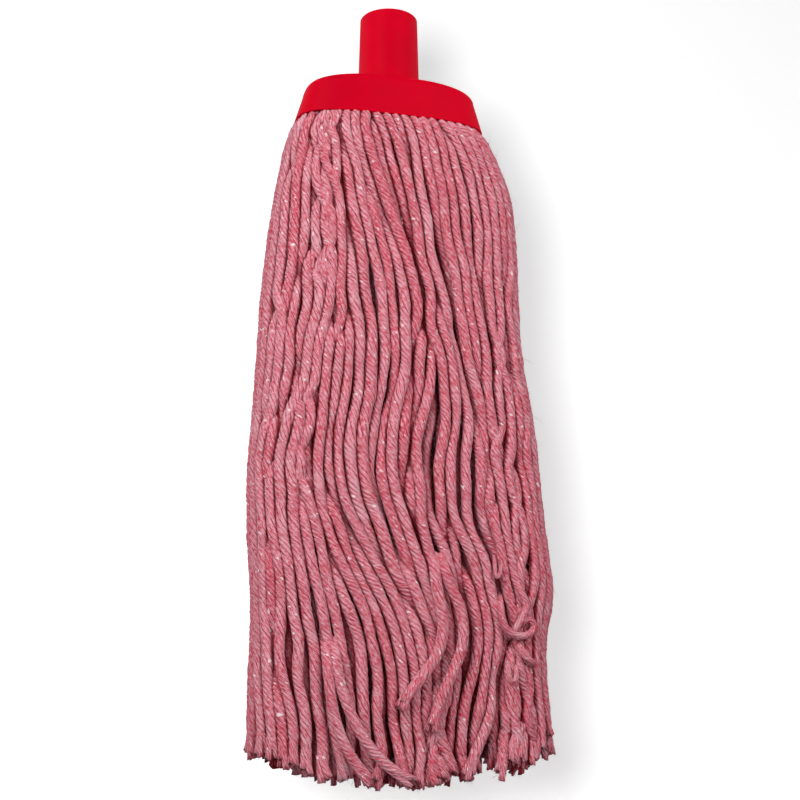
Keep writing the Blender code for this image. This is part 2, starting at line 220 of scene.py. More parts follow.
class MopCapSettings(bpy.types.PropertyGroup):
    """Sizes and colour of the moulded cap"""

    wall: FloatProperty(name="Wall", description="Thickness of the skirt", default=0.0024, unit="LENGTH")
    roof_wall: FloatProperty(name="Roof", description="Thickness of the roof", default=0.0025, unit="LENGTH")
    roof_length: FloatProperty(
        name="Roof length", description="Length at the roof", default=0.0905, unit="LENGTH"
    )
    roof_width: FloatProperty(
        name="Roof width", description="Width at the roof", default=0.042, unit="LENGTH"
    )
    height: FloatProperty(name="Skirt height", description="From roof to lip", default=0.0228, unit="LENGTH")
    crown: FloatProperty(
        name="Crown", description="Fall of the roof to its ends", default=0.0026, unit="LENGTH"
    )
    shoulder: FloatProperty(
        name="Shoulder", description="Radius of the rounded shoulder", default=0.004, unit="LENGTH"
    )
    lip_round: FloatProperty(
        name="Edge rounding", description="Radius on the lip and rim", default=0.0007, unit="LENGTH"
    )
    bore: FloatProperty(name="Bore", description="Diameter for the handle", default=0.025, unit="LENGTH")
    socket_wall: FloatProperty(
        name="Socket wall", description="Thickness of the socket", default=0.003, unit="LENGTH"
    )
    socket_flare: FloatProperty(
        name="Socket flare", description="Growth of the socket's radius to its foot", default=0.0009,
        unit="LENGTH",
    )
    bore_floor: FloatProperty(
        name="Bore floor", description="Thickness under the bore", default=0.004, unit="LENGTH"
    )
    foot: FloatProperty(name="Foot fillet", description="Radius at the foot", default=0.003, unit="LENGTH")
    boss: FloatProperty(name="Boss", description="Diameter of the screw bosses", default=0.008, unit="LENGTH")
    pilot: FloatProperty(name="Pilot", description="Diameter of a boss's hole", default=0.0041, unit="LENGTH")
    squareness: FloatProperty(name="Squareness", description="Power of the oblong outline", default=3.0)
    red: FloatVectorProperty(
        name="Red", description="Colour of the moulding", default=(0.50, 0.0, 0.012), subtype="COLOR"
    )


class MopStageSettings(bpy.types.PropertyGroup):
    """Camera and light"""

    azimuth: FloatProperty(
        name="Azimuth", description="Camera's turn about the mop", default=math.radians(-14.8),
        subtype="ANGLE",
    )
    elevation: FloatProperty(
        name="Elevation", description="Camera's height angle", default=math.radians(-15.14), subtype="ANGLE"
    )
    distance: FloatProperty(
        name="Distance", description="From the camera to what it aims at", default=0.85, unit="LENGTH"
    )
    aim: FloatVectorProperty(
        name="Aim", description="Point in the picture's middle", default=(0.00597, -0.00158, -0.21395),
        subtype="TRANSLATION",
    )
    lens: FloatProperty(name="Lens", description="Focal length in millimetres", default=74.66)
    sensor: FloatProperty(name="Sensor", description="Sensor width in millimetres", default=36.0)
    floor_z: FloatProperty(name="Floor", description="Height of the floor", default=-0.47, unit="LENGTH")
    backdrop_y: FloatProperty(
        name="Backdrop", description="Distance of the backdrop behind the mop", default=0.36, unit="LENGTH"
    )


class Value:
    """A number on its way through a tree of nodes. Arithmetic on it adds Math nodes."""

    def __init__(self, nodes, socket):
        self.nodes = nodes
        self.socket = socket

    def math(self, operation, first, second=0.0):
        return self.nodes.node("ShaderNodeMath", {"operation": operation}, {0: first, 1: second})

    def __add__(self, other):
        return self.math("ADD", self, other)

    def __radd__(self, other):
        return self.math("ADD", other, self)

    def __sub__(self, other):
        return self.math("SUBTRACT", self, other)

    def __rsub__(self, other):
        return self.math("SUBTRACT", other, self)

    def __mul__(self, other):
        return self.math("MULTIPLY", self, other)

    def __rmul__(self, other):
        return self.math("MULTIPLY", other, self)

    def __abs__(self):
        return self.math("ABSOLUTE", self)

    def fraction(self):
        return self.math("FRACT", self)

    def whole(self):
        return self.math("FLOOR", self)

    def ramp(self, low, high):
        """From 0 at low to 1 at high, smoothly."""
        inputs = {"Value": self, "From Min": low, "From Max": high}
        return self.nodes.node("ShaderNodeMapRange", {"interpolation_type": "SMOOTHSTEP"}, inputs)


class Nodes:
    """A tree of shading nodes under construction."""

    def __init__(self, tree):
        self.tree = tree

    def feed(self, socket, value):
        if isinstance(value, Value):
            self.tree.links.new(value.socket, socket)
        else:
            socket.default_value = value

    def node(self, kind, settings=None, inputs=None, output=0):
        made = self.tree.nodes.new(kind)
        for name, value in (settings or {}).items():
            setattr(made, name, value)
        for key, value in (inputs or {}).items():
            self.feed(made.inputs[key], value)
        return Value(self, made.outputs[output])

    def ray(self, kind):
        """Whether what looks is a ray of that kind."""
        return self.node("ShaderNodeLightPath", {}, {}, f"Is {kind} Ray")


class Finish(Nodes):
    """A material under construction, around one Principled shader."""

    def __init__(self, name):
        self.material = bpy.data.materials.new(name)
        self.material.use_nodes = True
        super().__init__(self.material.node_tree)
        self.shader = self.tree.nodes["Principled BSDF"]

    def mix(self, factor, first, second):
        """A colour between two colours."""
        settings = {"data_type": "RGBA"}
        return self.node("ShaderNodeMix", settings, {0: factor, 6: first, 7: second}, 2)

    def noise(self, vector, scale, detail=2.0, roughness=0.5):
        inputs = {"Vector": vector, "Scale": scale, "Detail": detail, "Roughness": roughness}
        return self.node("ShaderNodeTexNoise", {}, inputs)

    def point(self, x, y, z=0.0):
        return self.node("ShaderNodeCombineXYZ", {}, {0: x, 1: y, 2: z})

    def place(self):
        return self.node("ShaderNodeTexCoord", {}, {}, 3)

    def bump(self, height, distance, strength=1.0):
        inputs = {"Height": height, "Distance": distance, "Strength": strength}
        return self.node("ShaderNodeBump", {}, inputs)

    def set(self, **values):
        for name, value in values.items():
            self.feed(self.shader.inputs[name.replace("_", " ")], value)


def rgba(colour):
    return (*colour, 1.0)


def yarn_finish(yarn):
    """Melange cotton: red and pale fibres that run with the plies and undyed flecks, with painted shade in
    the ply grooves and deep between the strands.
    """
    finish = Finish("pink_melange_yarn")
    uv = finish.node("ShaderNodeUVMap", {"uv_map": "yarn"})
    round_, along = (finish.node("ShaderNodeSeparateXYZ", {}, {0: uv}, axis) for axis in (0, 1))
    strand = round_.whole()
    ply = round_ * yarn.plies
    edge = abs(ply.fraction() - 0.5) * 2

    def pattern(per_ply, per_centimetre, part=strand, detail=1.0, roughness=0.5):
        return finish.noise(finish.point(ply * per_ply, along * per_centimetre, part), 1.0, detail, roughness)

    streak = pattern(6.5, 4.5, detail=2.0, roughness=0.6)
    mottle = pattern(1.4, 3.0, detail=2.0, roughness=0.6)
    length = pattern(2.6, 0.9)
    slub = pattern(0.22, 0.55, strand * 3.7)
    speck = pattern(1.1, 3.4, strand * 1.9)
    tint = finish.node("ShaderNodeTexWhiteNoise", {"noise_dimensions": "1D"}, {"W": strand})
    groove = finish.point((ply + 0.5).whole(), strand)
    lay = finish.node("ShaderNodeTexWhiteNoise", {"noise_dimensions": "2D"}, {"Vector": groove})
    fibre = streak * 0.66 + mottle * 0.20 + length * 0.14
    fibre = fibre + (tint - 0.5) * 0.05 + slub.ramp(0.55, 0.75) * 0.06
    colour = finish.mix(fibre.ramp(0.40, 0.60), rgba(yarn.deep), rgba(yarn.pale))
    # Painted shade: thin, broken dark lines in the grooves between the plies.
    cut = edge.ramp(0.64, 0.92) * mottle.ramp(0.34, 0.60) * lay.ramp(-0.3, 0.7)
    colour = finish.mix(cut * 0.95, colour, rgba(yarn.groove))
    colour = finish.mix(speck.ramp(0.70, 0.75), colour, rgba(yarn.fleck))
    # Painted shade: where the cover attribute says other yarn lies in front, the colour goes toward the dark
    # shade colour.
    cover = finish.node("ShaderNodeAttribute", {"attribute_name": "cover"}, {}, 2)
    colour = finish.mix(cover.ramp(0.28, 0.72) * 0.95, colour, rgba(yarn.shade))
    relief = finish.bump(streak + mottle * 0.6, 0.00025, 0.6)
    finish.set(
        Base_Color=colour, Roughness=0.8 + mottle * 0.2, Normal=relief, Sheen_Weight=0.06,
        Sheen_Roughness=0.5, Specular_IOR_Level=0.08,
    )
    return finish.material


def plastic_finish(name, colour, roughness, specular, grain):
    """Moulded plastic: a little uneven in tone, with a fine skin and faint rubbing."""
    finish = Finish(name)
    place = finish.place()
    cloud = finish.noise(place, 38.0, 3.0)
    skin = finish.noise(place, grain, 2.0)
    rub = finish.noise(place, 190.0, 4.0, 0.7).ramp(0.60, 0.78)
    darker = tuple(0.90 * part for part in colour)
    tone = finish.mix(cloud.ramp(0.3, 0.7), rgba(darker), rgba(colour))
    rough = roughness + (cloud - 0.5) * 0.10 + rub * 0.07
    relief = finish.bump(skin, 0.00005, 0.35)
    finish.set(Base_Color=tone, Roughness=rough, Normal=relief, Specular_IOR_Level=specular)
    return finish.material


def zinc_finish():
    """Bright zinc on steel, with a spangled tone."""
    finish = Finish("zinc_plated_steel")
    dull, bright = (0.46, 0.46, 0.45), (0.66, 0.66, 0.64)
    spangle = finish.noise(finish.place(), 900.0, 3.0)
    tone = finish.mix(spangle, rgba(dull), rgba(bright))
    finish.set(Base_Color=tone, Roughness=0.28 + spangle * 0.2, Metallic=1.0)
    return finish.material


def only(obj):
    """Selects one object alone and makes it active."""
    bpy.ops.object.select_all(action="DESELECT")
    bpy.context.view_layer.objects.active = obj
    obj.select_set(True)
    return obj


def add_object(name, data):
    obj = bpy.data.objects.new(name, data)
    bpy.context.scene.collection.objects.link(obj)
    return obj


def as_mesh(name, curve):
    """A curve's mesh as a new object, which is selected alone."""
    only(add_object(name, curve))
    bpy.ops.object.convert(target="MESH")
    return bpy.context.object


def finished(obj, finish):
    obj.data.materials.clear()
    obj.data.materials.append(finish)


def direction(azimuth, elevation=0.0):
    """The way in which something stands from the mop, by its turn and its height angle."""
    level = Vector((math.sin(azimuth), -math.cos(azimuth), 0))
    return level * math.cos(elevation) + Vector((0, 0, math.sin(elevation)))


def level_ways(stage):
    """The level ways to the right and toward the camera, as the picture shows them."""
    right = Vector((math.cos(stage.azimuth), math.sin(stage.azimuth), 0))
    return right, direction(stage.azimuth)


def seen(stage, column, row, toward):
    """Where a picture's point lies on an upright plane that faces the camera, that far toward it from the
    mop's axis: how far aside, and how high."""
    right, back = level_ways(stage)
    camera = Vector(stage.aim) + stage.distance * direction(stage.azimuth, stage.elevation)
    ahead = (Vector(stage.aim) - camera).normalized()
    up = right.cross(ahead)
    scale = stage.sensor / stage.lens / PICTURE_SIZE
    middle = PICTURE_SIZE / 2
    ray = ahead + right * ((column - middle) * scale) + up * ((middle - row) * scale)
    point = camera + ray * ((toward - camera.dot(back)) / ray.dot(back))
    return point.dot(right), point.z


# The outline of the strings at one level: points round it from the left edge through the front, the ways out
# of it, the share of the way round at each point, where the camera sees those of the face, from -1 to 1, the
# face's middle and half width, and the share at which the face ends.
Level = namedtuple("Level", "points normal share seen middle half face")


class Bundle:
    """The outline of the strings at each level, from the frame, seen from the camera's side."""

    SAMPLES = 720
    FACE_EDGE = 0.99
    EDGE_SMOOTHING = 2
    LIFT_ROUNDS = 4
    # The share of the half length that shows when the bundle is turned as in the picture.
    TURNED_REACH = 0.987
    # Levels lie closer together from just below the bar's top to this far below the lip.
    ROOT_DROP = 0.0005
    NECK = 0.014
    NECK_STEP = 0.001
    # Drops below the lip over which the sides and the depth grow to their sizes.
    LIP_EASE = 0.006
    DEPTH_EASE = 0.040
    # The yarn swells under the lip, but not at the left end of the front.
    BULGE = 0.0055
    BULGE_EASE = 0.0016
    BULGE_FADE = 0.050
    BULGE_LEFT = (-0.036, -0.028)
    BULGE_POWER = 0.5

    def __init__(self, yarn, cap, stage):
        self.yarn = yarn
        self.squareness = cap.squareness
        neck = np.arange(BAR_TOP_Z - self.ROOT_DROP, LIP_Z - self.NECK, -self.NECK_STEP)
        below = np.arange(neck[-1] - self.NECK_STEP, STRING_END_Z - 2 * yarn.level, -yarn.level)
        self.heights = np.concatenate((neck, below))
        self.stage = stage
        self.right_way, self.camera_way = level_ways(stage)
        self.read_sizes(cap, stage)
        self.sample()

    def read_sizes(self, cap, stage):
        """Left, right and front half sizes at each level: sides as pictured, depth from the solids."""
        low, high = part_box("socket_cap")
        rise = np.clip((self.heights - LIP_Z) / cap.height, 0, 1)
        length, width = (high.x - low.x) / 2, (high.y - low.y) / 2
        length = length + (cap.roof_length / 2 - length) * rise - cap.wall
        width = width + (cap.roof_width / 2 - width) * rise - cap.wall
        sides = []
        for columns in (LEFT_EDGE, RIGHT_EDGE):
            aside, height = zip(*(seen(stage, column, row, 0.0) for column, row in zip(columns, COURSE_ROWS)))
            reach = np.abs(np.interp(self.heights, height[::-1], aside[::-1])) / self.TURNED_REACH
            sides.append(smoothed(reach, self.EDGE_SMOOTHING))
        drop = np.clip(LIP_Z - self.heights, 0, None)
        opening = np.clip(drop / self.LIP_EASE, 0, 1)
        self.left, self.right = (length + (side - length) * opening for side in sides)
        depth = max(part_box(name)[1].y for name in LOCK_NODES)
        self.front = width + (depth - width) * (1 - np.exp(-drop / self.DEPTH_EASE))
        swell = (1 - np.exp(-drop / self.BULGE_EASE)) * np.exp(-((drop / self.BULGE_FADE) ** 2))
        self.bulge = self.BULGE * swell

    def sample(self):
        """Each level's outline from its left edge round the front, with the share of the way round."""
        turns = np.linspace(0, math.tau, self.SAMPLES, endpoint=False)
        power = 2 / self.squareness
        along = np.sign(np.cos(turns)) * np.abs(np.cos(turns)) ** power
        across = np.sign(np.sin(turns)) * np.abs(np.sin(turns)) ** power
        self.rounds = []
        for left, right, front in zip(self.left, self.right, self.front):
            points = np.stack((np.where(along > 0, right, left) * along, front * across), axis=1)
            aside = points @ np.array(self.right_way[:2])
            first = int(np.argmin(aside))
            points, aside = np.roll(points, -first, axis=0), np.roll(aside, -first)
            points = np.concatenate((points, points[:1]))
            steps = np.linalg.norm(np.diff(points, axis=0), axis=1)
            share = np.concatenate(([0], np.cumsum(steps))) / steps.sum()
            tangent = np.roll(points[:-1], -2, axis=0) - np.roll(points[:-1], 2, axis=0)
            tangent /= np.linalg.norm(tangent, axis=1)[:, None]
            normal = np.stack((tangent[:, 1], -tangent[:, 0]), axis=1)
            normal = np.concatenate((normal, normal[:1]))
            last = int(np.argmax(aside))
            middle, half = (aside.max() + aside.min()) / 2, (aside.max() - aside.min()) / 2
            viewed = (aside[: last + 1] - middle) / half
            self.rounds.append(Level(points, normal, share, viewed, middle, half, share[last]))
        self.face_share = np.array([level.face for level in self.rounds])

    def level_at(self, height):
        return int(np.argmin(np.abs(self.heights - height)))

    def share_at(self, level, aside):
        """The share of the way round at which the camera sees a place of the face that far aside."""
        outline = self.rounds[level]
        across = np.clip((aside - outline.middle) / outline.half, -self.FACE_EDGE, self.FACE_EDGE)
        return np.interp(across, outline.seen, outline.share[: len(outline.seen)])

    def over(self, column, row, lift):
        """A point of the picture at a lift off the outline of the strings."""
        toward = self.front.max()
        for _ in range(self.LIFT_ROUNDS):
            aside, height = seen(self.stage, column, row, toward)
            level = self.level_at(height)
            at = self.share_at(level, aside)
            flat = Vector(between(at, self.rounds[level].share, self.rounds[level].points))
            toward = flat.dot(self.camera_way.xy) + lift
        return self.right_way * aside + self.camera_way * toward + Vector((0, 0, height))

    def place(self, shares, inset):
        """Points at those shares round each level, set in from the outline, and the ways out of it there."""
        flat, ways = np.empty((len(shares), 2)), np.empty((len(shares), 2))
        for level, outline in enumerate(self.rounds):
            at = shares[level] % 1.0
            point = between(at, outline.share, outline.points)
            out = between(at, outline.share, outline.normal)
            bulge = self.bulge[level] * abs(out[1]) ** self.BULGE_POWER
            if out[1] < 0:
                bulge *= np.interp(point[0], self.BULGE_LEFT, (0, 1))
            flat[level] = point - out * (inset[level] - bulge)
            ways[level] = out
        return flat, ways

    def inside(self, places, radius):
        """Moves what stands out of the outline back in. places is strands by levels by two."""
        x, y = places[..., 0], places[..., 1]
        half = np.where(x > 0, self.right, self.left) - radius
        deep = self.front + self.bulge - radius
        power = self.squareness
        reach = (np.abs(x / half) ** power + np.abs(y / deep) ** power) ** (1 / power)
        places /= np.maximum(reach, 1.0)[..., None]


class Courses:
    """How the strands of the picture's face run, and those of the other face, as shares round the bundle."""

    # How far the face lies toward the camera from the mop's axis.
    FACE_OFFSET = 0.021
    # The other face's strands sway less than the picture's, and farther down.
    BACK_SWAY = 0.6
    BACK_LOWER = 0.05
    # A stretch gets outer strands for the width that it keeps to at this share of its levels.
    CROWDING = 0.8
    SMOOTHING = 3
    SINK_EASE = 0.02

    def __init__(self, bundle, stage):
        self.bundle = bundle
        self.stage = stage
        self.bands = []
        for sunk_row, columns in BANDS:
            lines = np.array([self.line(column) for column in columns])
            self.bands.append((sunk_row, lines / bundle.face_share))
        widths = [np.clip(np.diff(lines, axis=0), 0, None) for _, lines in self.bands]
        self.even = self.ranked([width.mean(axis=1) for width in widths])
        self.crowded = self.ranked([np.quantile(width, self.CROWDING, axis=1) for width in widths])

    def ranked(self, widths):
        """The rank of each line of each band, from 0 to 1, when each stretch gets strands for its width."""
        total = sum(width.sum() for width in widths)
        start, ranks = 0.0, []
        for width in widths:
            ranks.append((start + np.concatenate(([0], np.cumsum(width)))) / total)
            start += width.sum()
        return ranks

    def line(self, columns):
        """A course as its share round the bundle at each level."""
        if columns is LEFT_EDGE:
            return np.zeros(len(self.bundle.heights))
        if columns is RIGHT_EDGE:
            return self.bundle.face_share
        aside, height = zip(*(
            seen(self.stage, column, row, self.FACE_OFFSET) for column, row in zip(columns, COURSE_ROWS)
        ))
        asides = np.interp(self.bundle.heights, height[::-1], aside[::-1])
        shares = []
        for level, at in enumerate(smoothed(asides, self.SMOOTHING)):
            shares.append(self.bundle.share_at(level, at))
        return np.array(shares)

    def face(self, rank, ranking):
        """Share of the face at each level, and how far the strand is sunk there, for a rank from 0 to 1."""
        for (sunk_row, lines), ranks in zip(self.bands, ranking):
            if rank <= ranks[-1]:
                break
        shares = np.array([np.interp(rank, ranks, column) for column in lines.T])
        sunk = np.zeros(len(shares))
        if sunk_row:
            sunk_z = seen(self.stage, PICTURE_SIZE / 2, sunk_row, self.FACE_OFFSET)[1]
            sunk = np.clip((self.bundle.heights - sunk_z) / self.SINK_EASE + 0.5, 0, 1)
        return shares, sunk

    def round(self, rank, sway, ranking):
        """Shares round the whole bundle and sinking, for a rank from 0 to 1 round it."""
        face_rank = float(self.bundle.face_share.mean())
        if rank < face_rank:
            shares, sunk = self.face(rank / face_rank, ranking)
            shares = shares.mean() + sway * (shares - shares.mean())
            return shares * self.bundle.face_share, sunk * sway
        shares, sunk = map(self.lowered, self.face((1 - rank) / (1 - face_rank), ranking))
        shares = 1 - shares.mean() - sway * self.BACK_SWAY * (shares - shares.mean())
        return self.bundle.face_share + shares * (1 - self.bundle.face_share), sunk * sway

    def lowered(self, values):
        """Values along a strand as they are farther up."""
        heights = self.bundle.heights
        return np.interp(-heights - self.BACK_LOWER, -heights, values)


def between(at, places, values):
    """Points or ways interpolated at some places along a row of them."""
    return np.stack([np.interp(at, places, column) for column in values.T], axis=-1)


def smoothed(values, rounds):
    """Values along a strand with their corners taken off."""
    values = np.array(values, dtype=float)
    for _ in range(rounds):
        values[1:-1] = values[1:-1] * 0.5 + (values[2:] + values[:-2]) * 0.25
    return values


# One strand: the lock and the layer that it is in, its rank round the bundle from 0 to 1, and its number.
Strand = namedtuple("Strand", "lock layer rank number")


class Strings:
    """All strands of the mop, laid along their courses and settled against each other."""

    SEED = 7
    # How much of the courses' sway each layer follows, the second layer's depth in strand diameters, and the
    # core's as shares of the bundle's half depth.
    LAYER_SWAY = (1.0, 0.7, 0.4)
    LAYER_STEP = 0.90
    CORE_SHARES = (0.62, 0.92)
    # A strand's room and thickness against the rest, and how it varies in waves of these lengths.
    SPACING = 1.02
    THICKNESS = (0.90, 1.10)
    UNEVEN = 0.07
    UNEVEN_WAVES = (0.009, 0.017, 0.04)
    WAVE_HEIGHT = (0.4, 1.0)
    # Outer strands that find no room at the lip sink behind their neighbours, in strand diameters, and come
    # out again over this drop.
    ROOT_PITCH = 0.0041
    ROOT_SINK = 0.75
    ROOT_EASE = 0.045
    ROOT_HOLD = 0.6
    # The slot presses layers and strands together, and they open over this drop.
    SLOT_STEP = 0.44
    SLOT_SQUEEZE = (0.18, 0.45)
    SLOT_WAIST = 0.08
    SLOT_EASE = 0.022
    # Sunk bands, and single strands here and there, lie behind others by this many diameters.
    SINK = 0.9
    DIVE = 0.6
    DIVE_FROM, DIVE_TO = 0.25, 0.75
    DIVE_WAVES = (0.08, 0.15, 0.33)
    WOBBLE = 0.0015
    WOBBLE_WAVES = (0.036, 0.08, 0.20)
    # Each round of settling pushes strands apart, straightens them and draws them to their courses.
    ROUNDS = 140
    PUSH = 0.9
    STIFFNESS = 0.35
    DEPTH_PULL = 0.01
    SUNK_HOLD = 0.25
    COURSE_PULL = 0.10
    NEAR = 3.2
    # Yarn this near, in strand diameters, covers a side of a strand, and the yarn's colour darkens that side
    # as painted shade.
    SIDES_SHADED = 13
    COVER_REACH = 2.6
    COVER_DEPTH = 0.8
    COVER_ROUND = 0.25
    INSIDE_LIGHT = 0.75
    OTHER_GROUP = 0.35
    LUMPS = 0.05
    FINE_STEP = 0.0008
    LEVEL_SMOOTHING = 2
    FINE_SMOOTHING = 6
    # The cut ends lie on an arc that rises to the sides and to the rear, a little raggedly.
    END_DROP = 0.006
    END_ARC = 0.0145
    END_LEAN = 0.0015
    END_POWER = 2.0
    END_TILT = 0.21
    END_RAGGED = 0.003
    END_STRAY = 0.0035
    END_STRAY_FROM = 0.035
    # How far loose strands and their tucked ends lie off the outline, in strand diameters.
    LOOSE_LIFT = 0.45
    LOOSE_TUCK = -1.1
    LOOSE_STEP = 0.0006
    LOOSE_ROUNDS = 60

    def __init__(self, yarn, bundle, courses, groups):
        self.yarn = yarn
        self.bundle = bundle
        self.groups = groups
        self.chance = random.Random(self.SEED)
        self.strands = []
        locks = len(LOCK_NODES)
        for layer, each in enumerate((yarn.outer, yarn.middle, yarn.inner)):
            for i in range(each * locks):
                rank = (i + 0.5) / (each * locks)
                self.strands.append(Strand(i // each, layer, rank, len(self.strands)))
        self.lay(courses)
        self.settle()
        self.shade()

    def lay(self, courses):
        """Each strand on its own course and in its own layer."""
        drop = np.clip(LIP_Z - self.bundle.heights, 0, None)
        open_ = 1 - np.exp(-drop / self.SLOT_EASE)
        step = self.yarn.diameter * (self.SLOT_STEP + (self.LAYER_STEP - self.SLOT_STEP) * open_)
        cores = [2 * step + (share * self.bundle.front - 2 * step) * open_ for share in self.CORE_SHARES]
        root_share = np.exp(-drop / self.ROOT_EASE)
        root = self.ROOT_SINK * self.yarn.diameter * root_share
        waist = 1 - self.SLOT_WAIST * (1 - open_)
        last = np.clip((drop - drop[-1]) / self.END_STRAY_FROM + 1, 0, 1) ** 2
        runs = []
        for strand in self.strands:
            ranking = courses.even if strand.layer else courses.crowded
            runs.append(courses.round(strand.rank, self.LAYER_SWAY[strand.layer], ranking))
        behind = self.behind_at_lip(runs)
        places, ways, radii, shown, held = [], [], [], [], []
        for strand, (shares, sunk) in zip(self.strands, runs):
            thick = self.yarn.diameter / 2 * self.chance.uniform(*self.THICKNESS)
            thick = thick * (1 + self.UNEVEN * self.wave(self.UNEVEN_WAVES))
            dive = self.wave(self.DIVE_WAVES)
            dive = np.clip((dive - self.DIVE_FROM) / (self.DIVE_TO - self.DIVE_FROM), 0, 1) * self.DIVE
            banded = sunk * open_ * (strand.layer == 0)
            sunk = np.maximum(sunk * self.SINK, dive if strand.layer == 0 else 0) * open_
            hidden = strand.number in behind
            held.append(np.maximum(banded, root_share * self.ROOT_HOLD if hidden else 0))
            squeeze = 1 - self.SLOT_SQUEEZE[strand.layer > 0 or hidden] * (1 - open_)
            depth = (0, step, cores[strand.number % len(cores)])[strand.layer] + (root if hidden else 0)
            wobble = self.WOBBLE * self.wave(self.WOBBLE_WAVES) * open_
            inset = thick * squeeze + depth + sunk * self.yarn.diameter + wobble
            wobble = self.WOBBLE * self.wave(self.WOBBLE_WAVES) * open_
            aside = wobble + self.chance.gauss(0, self.END_STRAY) * last
            aside = aside / (self.bundle.left + self.bundle.right) / 2
            flat, out = self.bundle.place(shares + aside, inset)
            places.append(flat)
            ways.append(out)
            radii.append(thick * squeeze * self.SPACING)
            shown.append(thick * waist)
        self.places, self.ways = np.array(places), np.array(ways)
        self.radii, self.shown, self.held = np.array(radii), np.array(shown), np.array(held)

    def behind_at_lip(self, runs):
        """The outer strands that find no room in the front row at the lip."""
        level = self.bundle.level_at(LIP_Z)
        points = self.bundle.rounds[level].points
        round_ = np.linalg.norm(np.diff(points, axis=0), axis=1).sum()
        behind, last = set(), -self.ROOT_PITCH
        for strand, (shares, _) in zip(self.strands, runs):
            at = shares[level] * round_
            if strand.layer == 0 and at - last < self.ROOT_PITCH:
                behind.add(strand.number)
            elif strand.layer == 0:
                last = at
        return behind

    def loose(self, thickness, tucked, course):
        """Points and radius along a strand that lies over the others, and the lock that it hangs from."""
        lifts = [self.LOOSE_LIFT * self.yarn.diameter] * len(course)
        lifts[0] = self.LOOSE_TUCK * self.yarn.diameter
        if tucked:
            lifts[-1] = lifts[0]
        rough = np.array([self.bundle.over(*at, lift) for at, lift in zip(course, lifts)])
        radius = np.full(len(rough), self.yarn.diameter / 2 * thickness)
        points, radius, _ = evenly(rough, radius, self.LOOSE_STEP)
        for axis in range(3):
            points[:, axis] = smoothed(points[:, axis], self.LOOSE_ROUNDS)
        level = self.bundle.level_at(points[0, 2])
        apart = np.linalg.norm(self.places[:, level] - points[0, :2], axis=1)
        return points, radius, self.strands[int(np.argmin(apart))].lock, tucked

    def wave(self, lengths):
        """A slow random wave along a strand, about -1 to 1."""
        heights = self.bundle.heights
        total = np.zeros(len(heights))
        for length in lengths:
            phase = self.chance.uniform(0, math.tau)
            height = self.chance.uniform(*self.WAVE_HEIGHT)
            total += np.sin(heights / length * math.tau + phase) * height
        return total / math.sqrt(len(lengths))

    def settle(self):
        """Pushes strands that overlap apart, level by level, smoothly and near their courses."""
        places, radii = self.places, self.radii
        targets = places.copy()
        pairs = []
        for first in range(len(places)):
            apart = np.linalg.norm(targets[first + 1 :] - targets[first], axis=2).min(axis=1)
            near = np.nonzero(apart < self.NEAR * self.yarn.diameter)[0] + first + 1
            pairs.extend((first, second) for second in near)
        one, other = np.array(pairs).T
        slope = np.linalg.norm(np.gradient(targets, -self.bundle.heights, axis=1), axis=2)
        stretch = np.sqrt(1 + np.clip(slope, 0, 1) ** 2)
        room = (radii * stretch)[one] + (radii * stretch)[other]
        slack = 1 - self.DEPTH_PULL - self.SUNK_HOLD * self.held[..., None]
        for _ in range(self.ROUNDS):
            way = places[other] - places[one]
            apart = np.linalg.norm(way, axis=2) + TINY
            overlap = np.clip(room - apart, 0, None) / apart * self.PUSH / 2
            push = way * overlap[..., None]
            np.subtract.at(places, one, push)
            np.add.at(places, other, push)
            shift = places - targets
            middle = (shift[:, 2:] + shift[:, :-2]) / 2
            shift[:, 1:-1] += self.STIFFNESS * (middle - shift[:, 1:-1])
            deep = (shift * self.ways).sum(axis=2, keepdims=True) * self.ways
            places[:] = targets + deep * slack + (shift - deep) * (1 - self.COURSE_PULL)
            self.bundle.inside(places, radii)

    def shade(self):
        """How much of what lies in front of each side of a strand is other yarn, from 0 to 1, which the
        yarn's colour turns into painted shade. Sides that face the mop's axis, which show only when the
        strings are swung out, count for less, and so does yarn of a group that swings away on its own."""
        groups = np.array([self.groups[strand.lock] for strand in self.strands])
        turns = np.linspace(-math.pi, math.pi, self.SIDES_SHADED)
        self.cover = np.zeros((*self.shown.shape, len(turns)))
        reach = self.COVER_REACH * self.yarn.diameter
        for first in range(len(self.places)):
            others = np.delete(np.arange(len(self.places)), first)
            apart = np.linalg.norm(self.places[others] - self.places[first], axis=2)
            others = others[apart.min(axis=1) < reach]
            weight = np.where(groups[others] == groups[first], 1.0, self.OTHER_GROUP)
            for side, turn in enumerate(turns):
                out = np.array((math.cos(turn), math.sin(turn)))
                skin = self.places[first] + out * self.shown[first][:, None]
                way = self.places[others] - skin
                apart = np.linalg.norm(way, axis=2) + TINY
                facing = np.clip((way @ out) / apart + self.COVER_ROUND, 0, 1)
                near = np.clip(2 - 2 * apart / reach, 0, 1)
                taken = np.clip(self.shown[others] / apart, 0, 1) * facing * near
                inward = np.clip(-self.ways[first] @ out, 0, 1)
                dark = 1 - np.exp(-self.COVER_DEPTH * weight @ taken)
                self.cover[first, :, side] = dark * (1 - self.INSIDE_LIGHT * inward)

    def cover_of(self, strand):
        return self.bundle.heights, self.cover[strand.number]

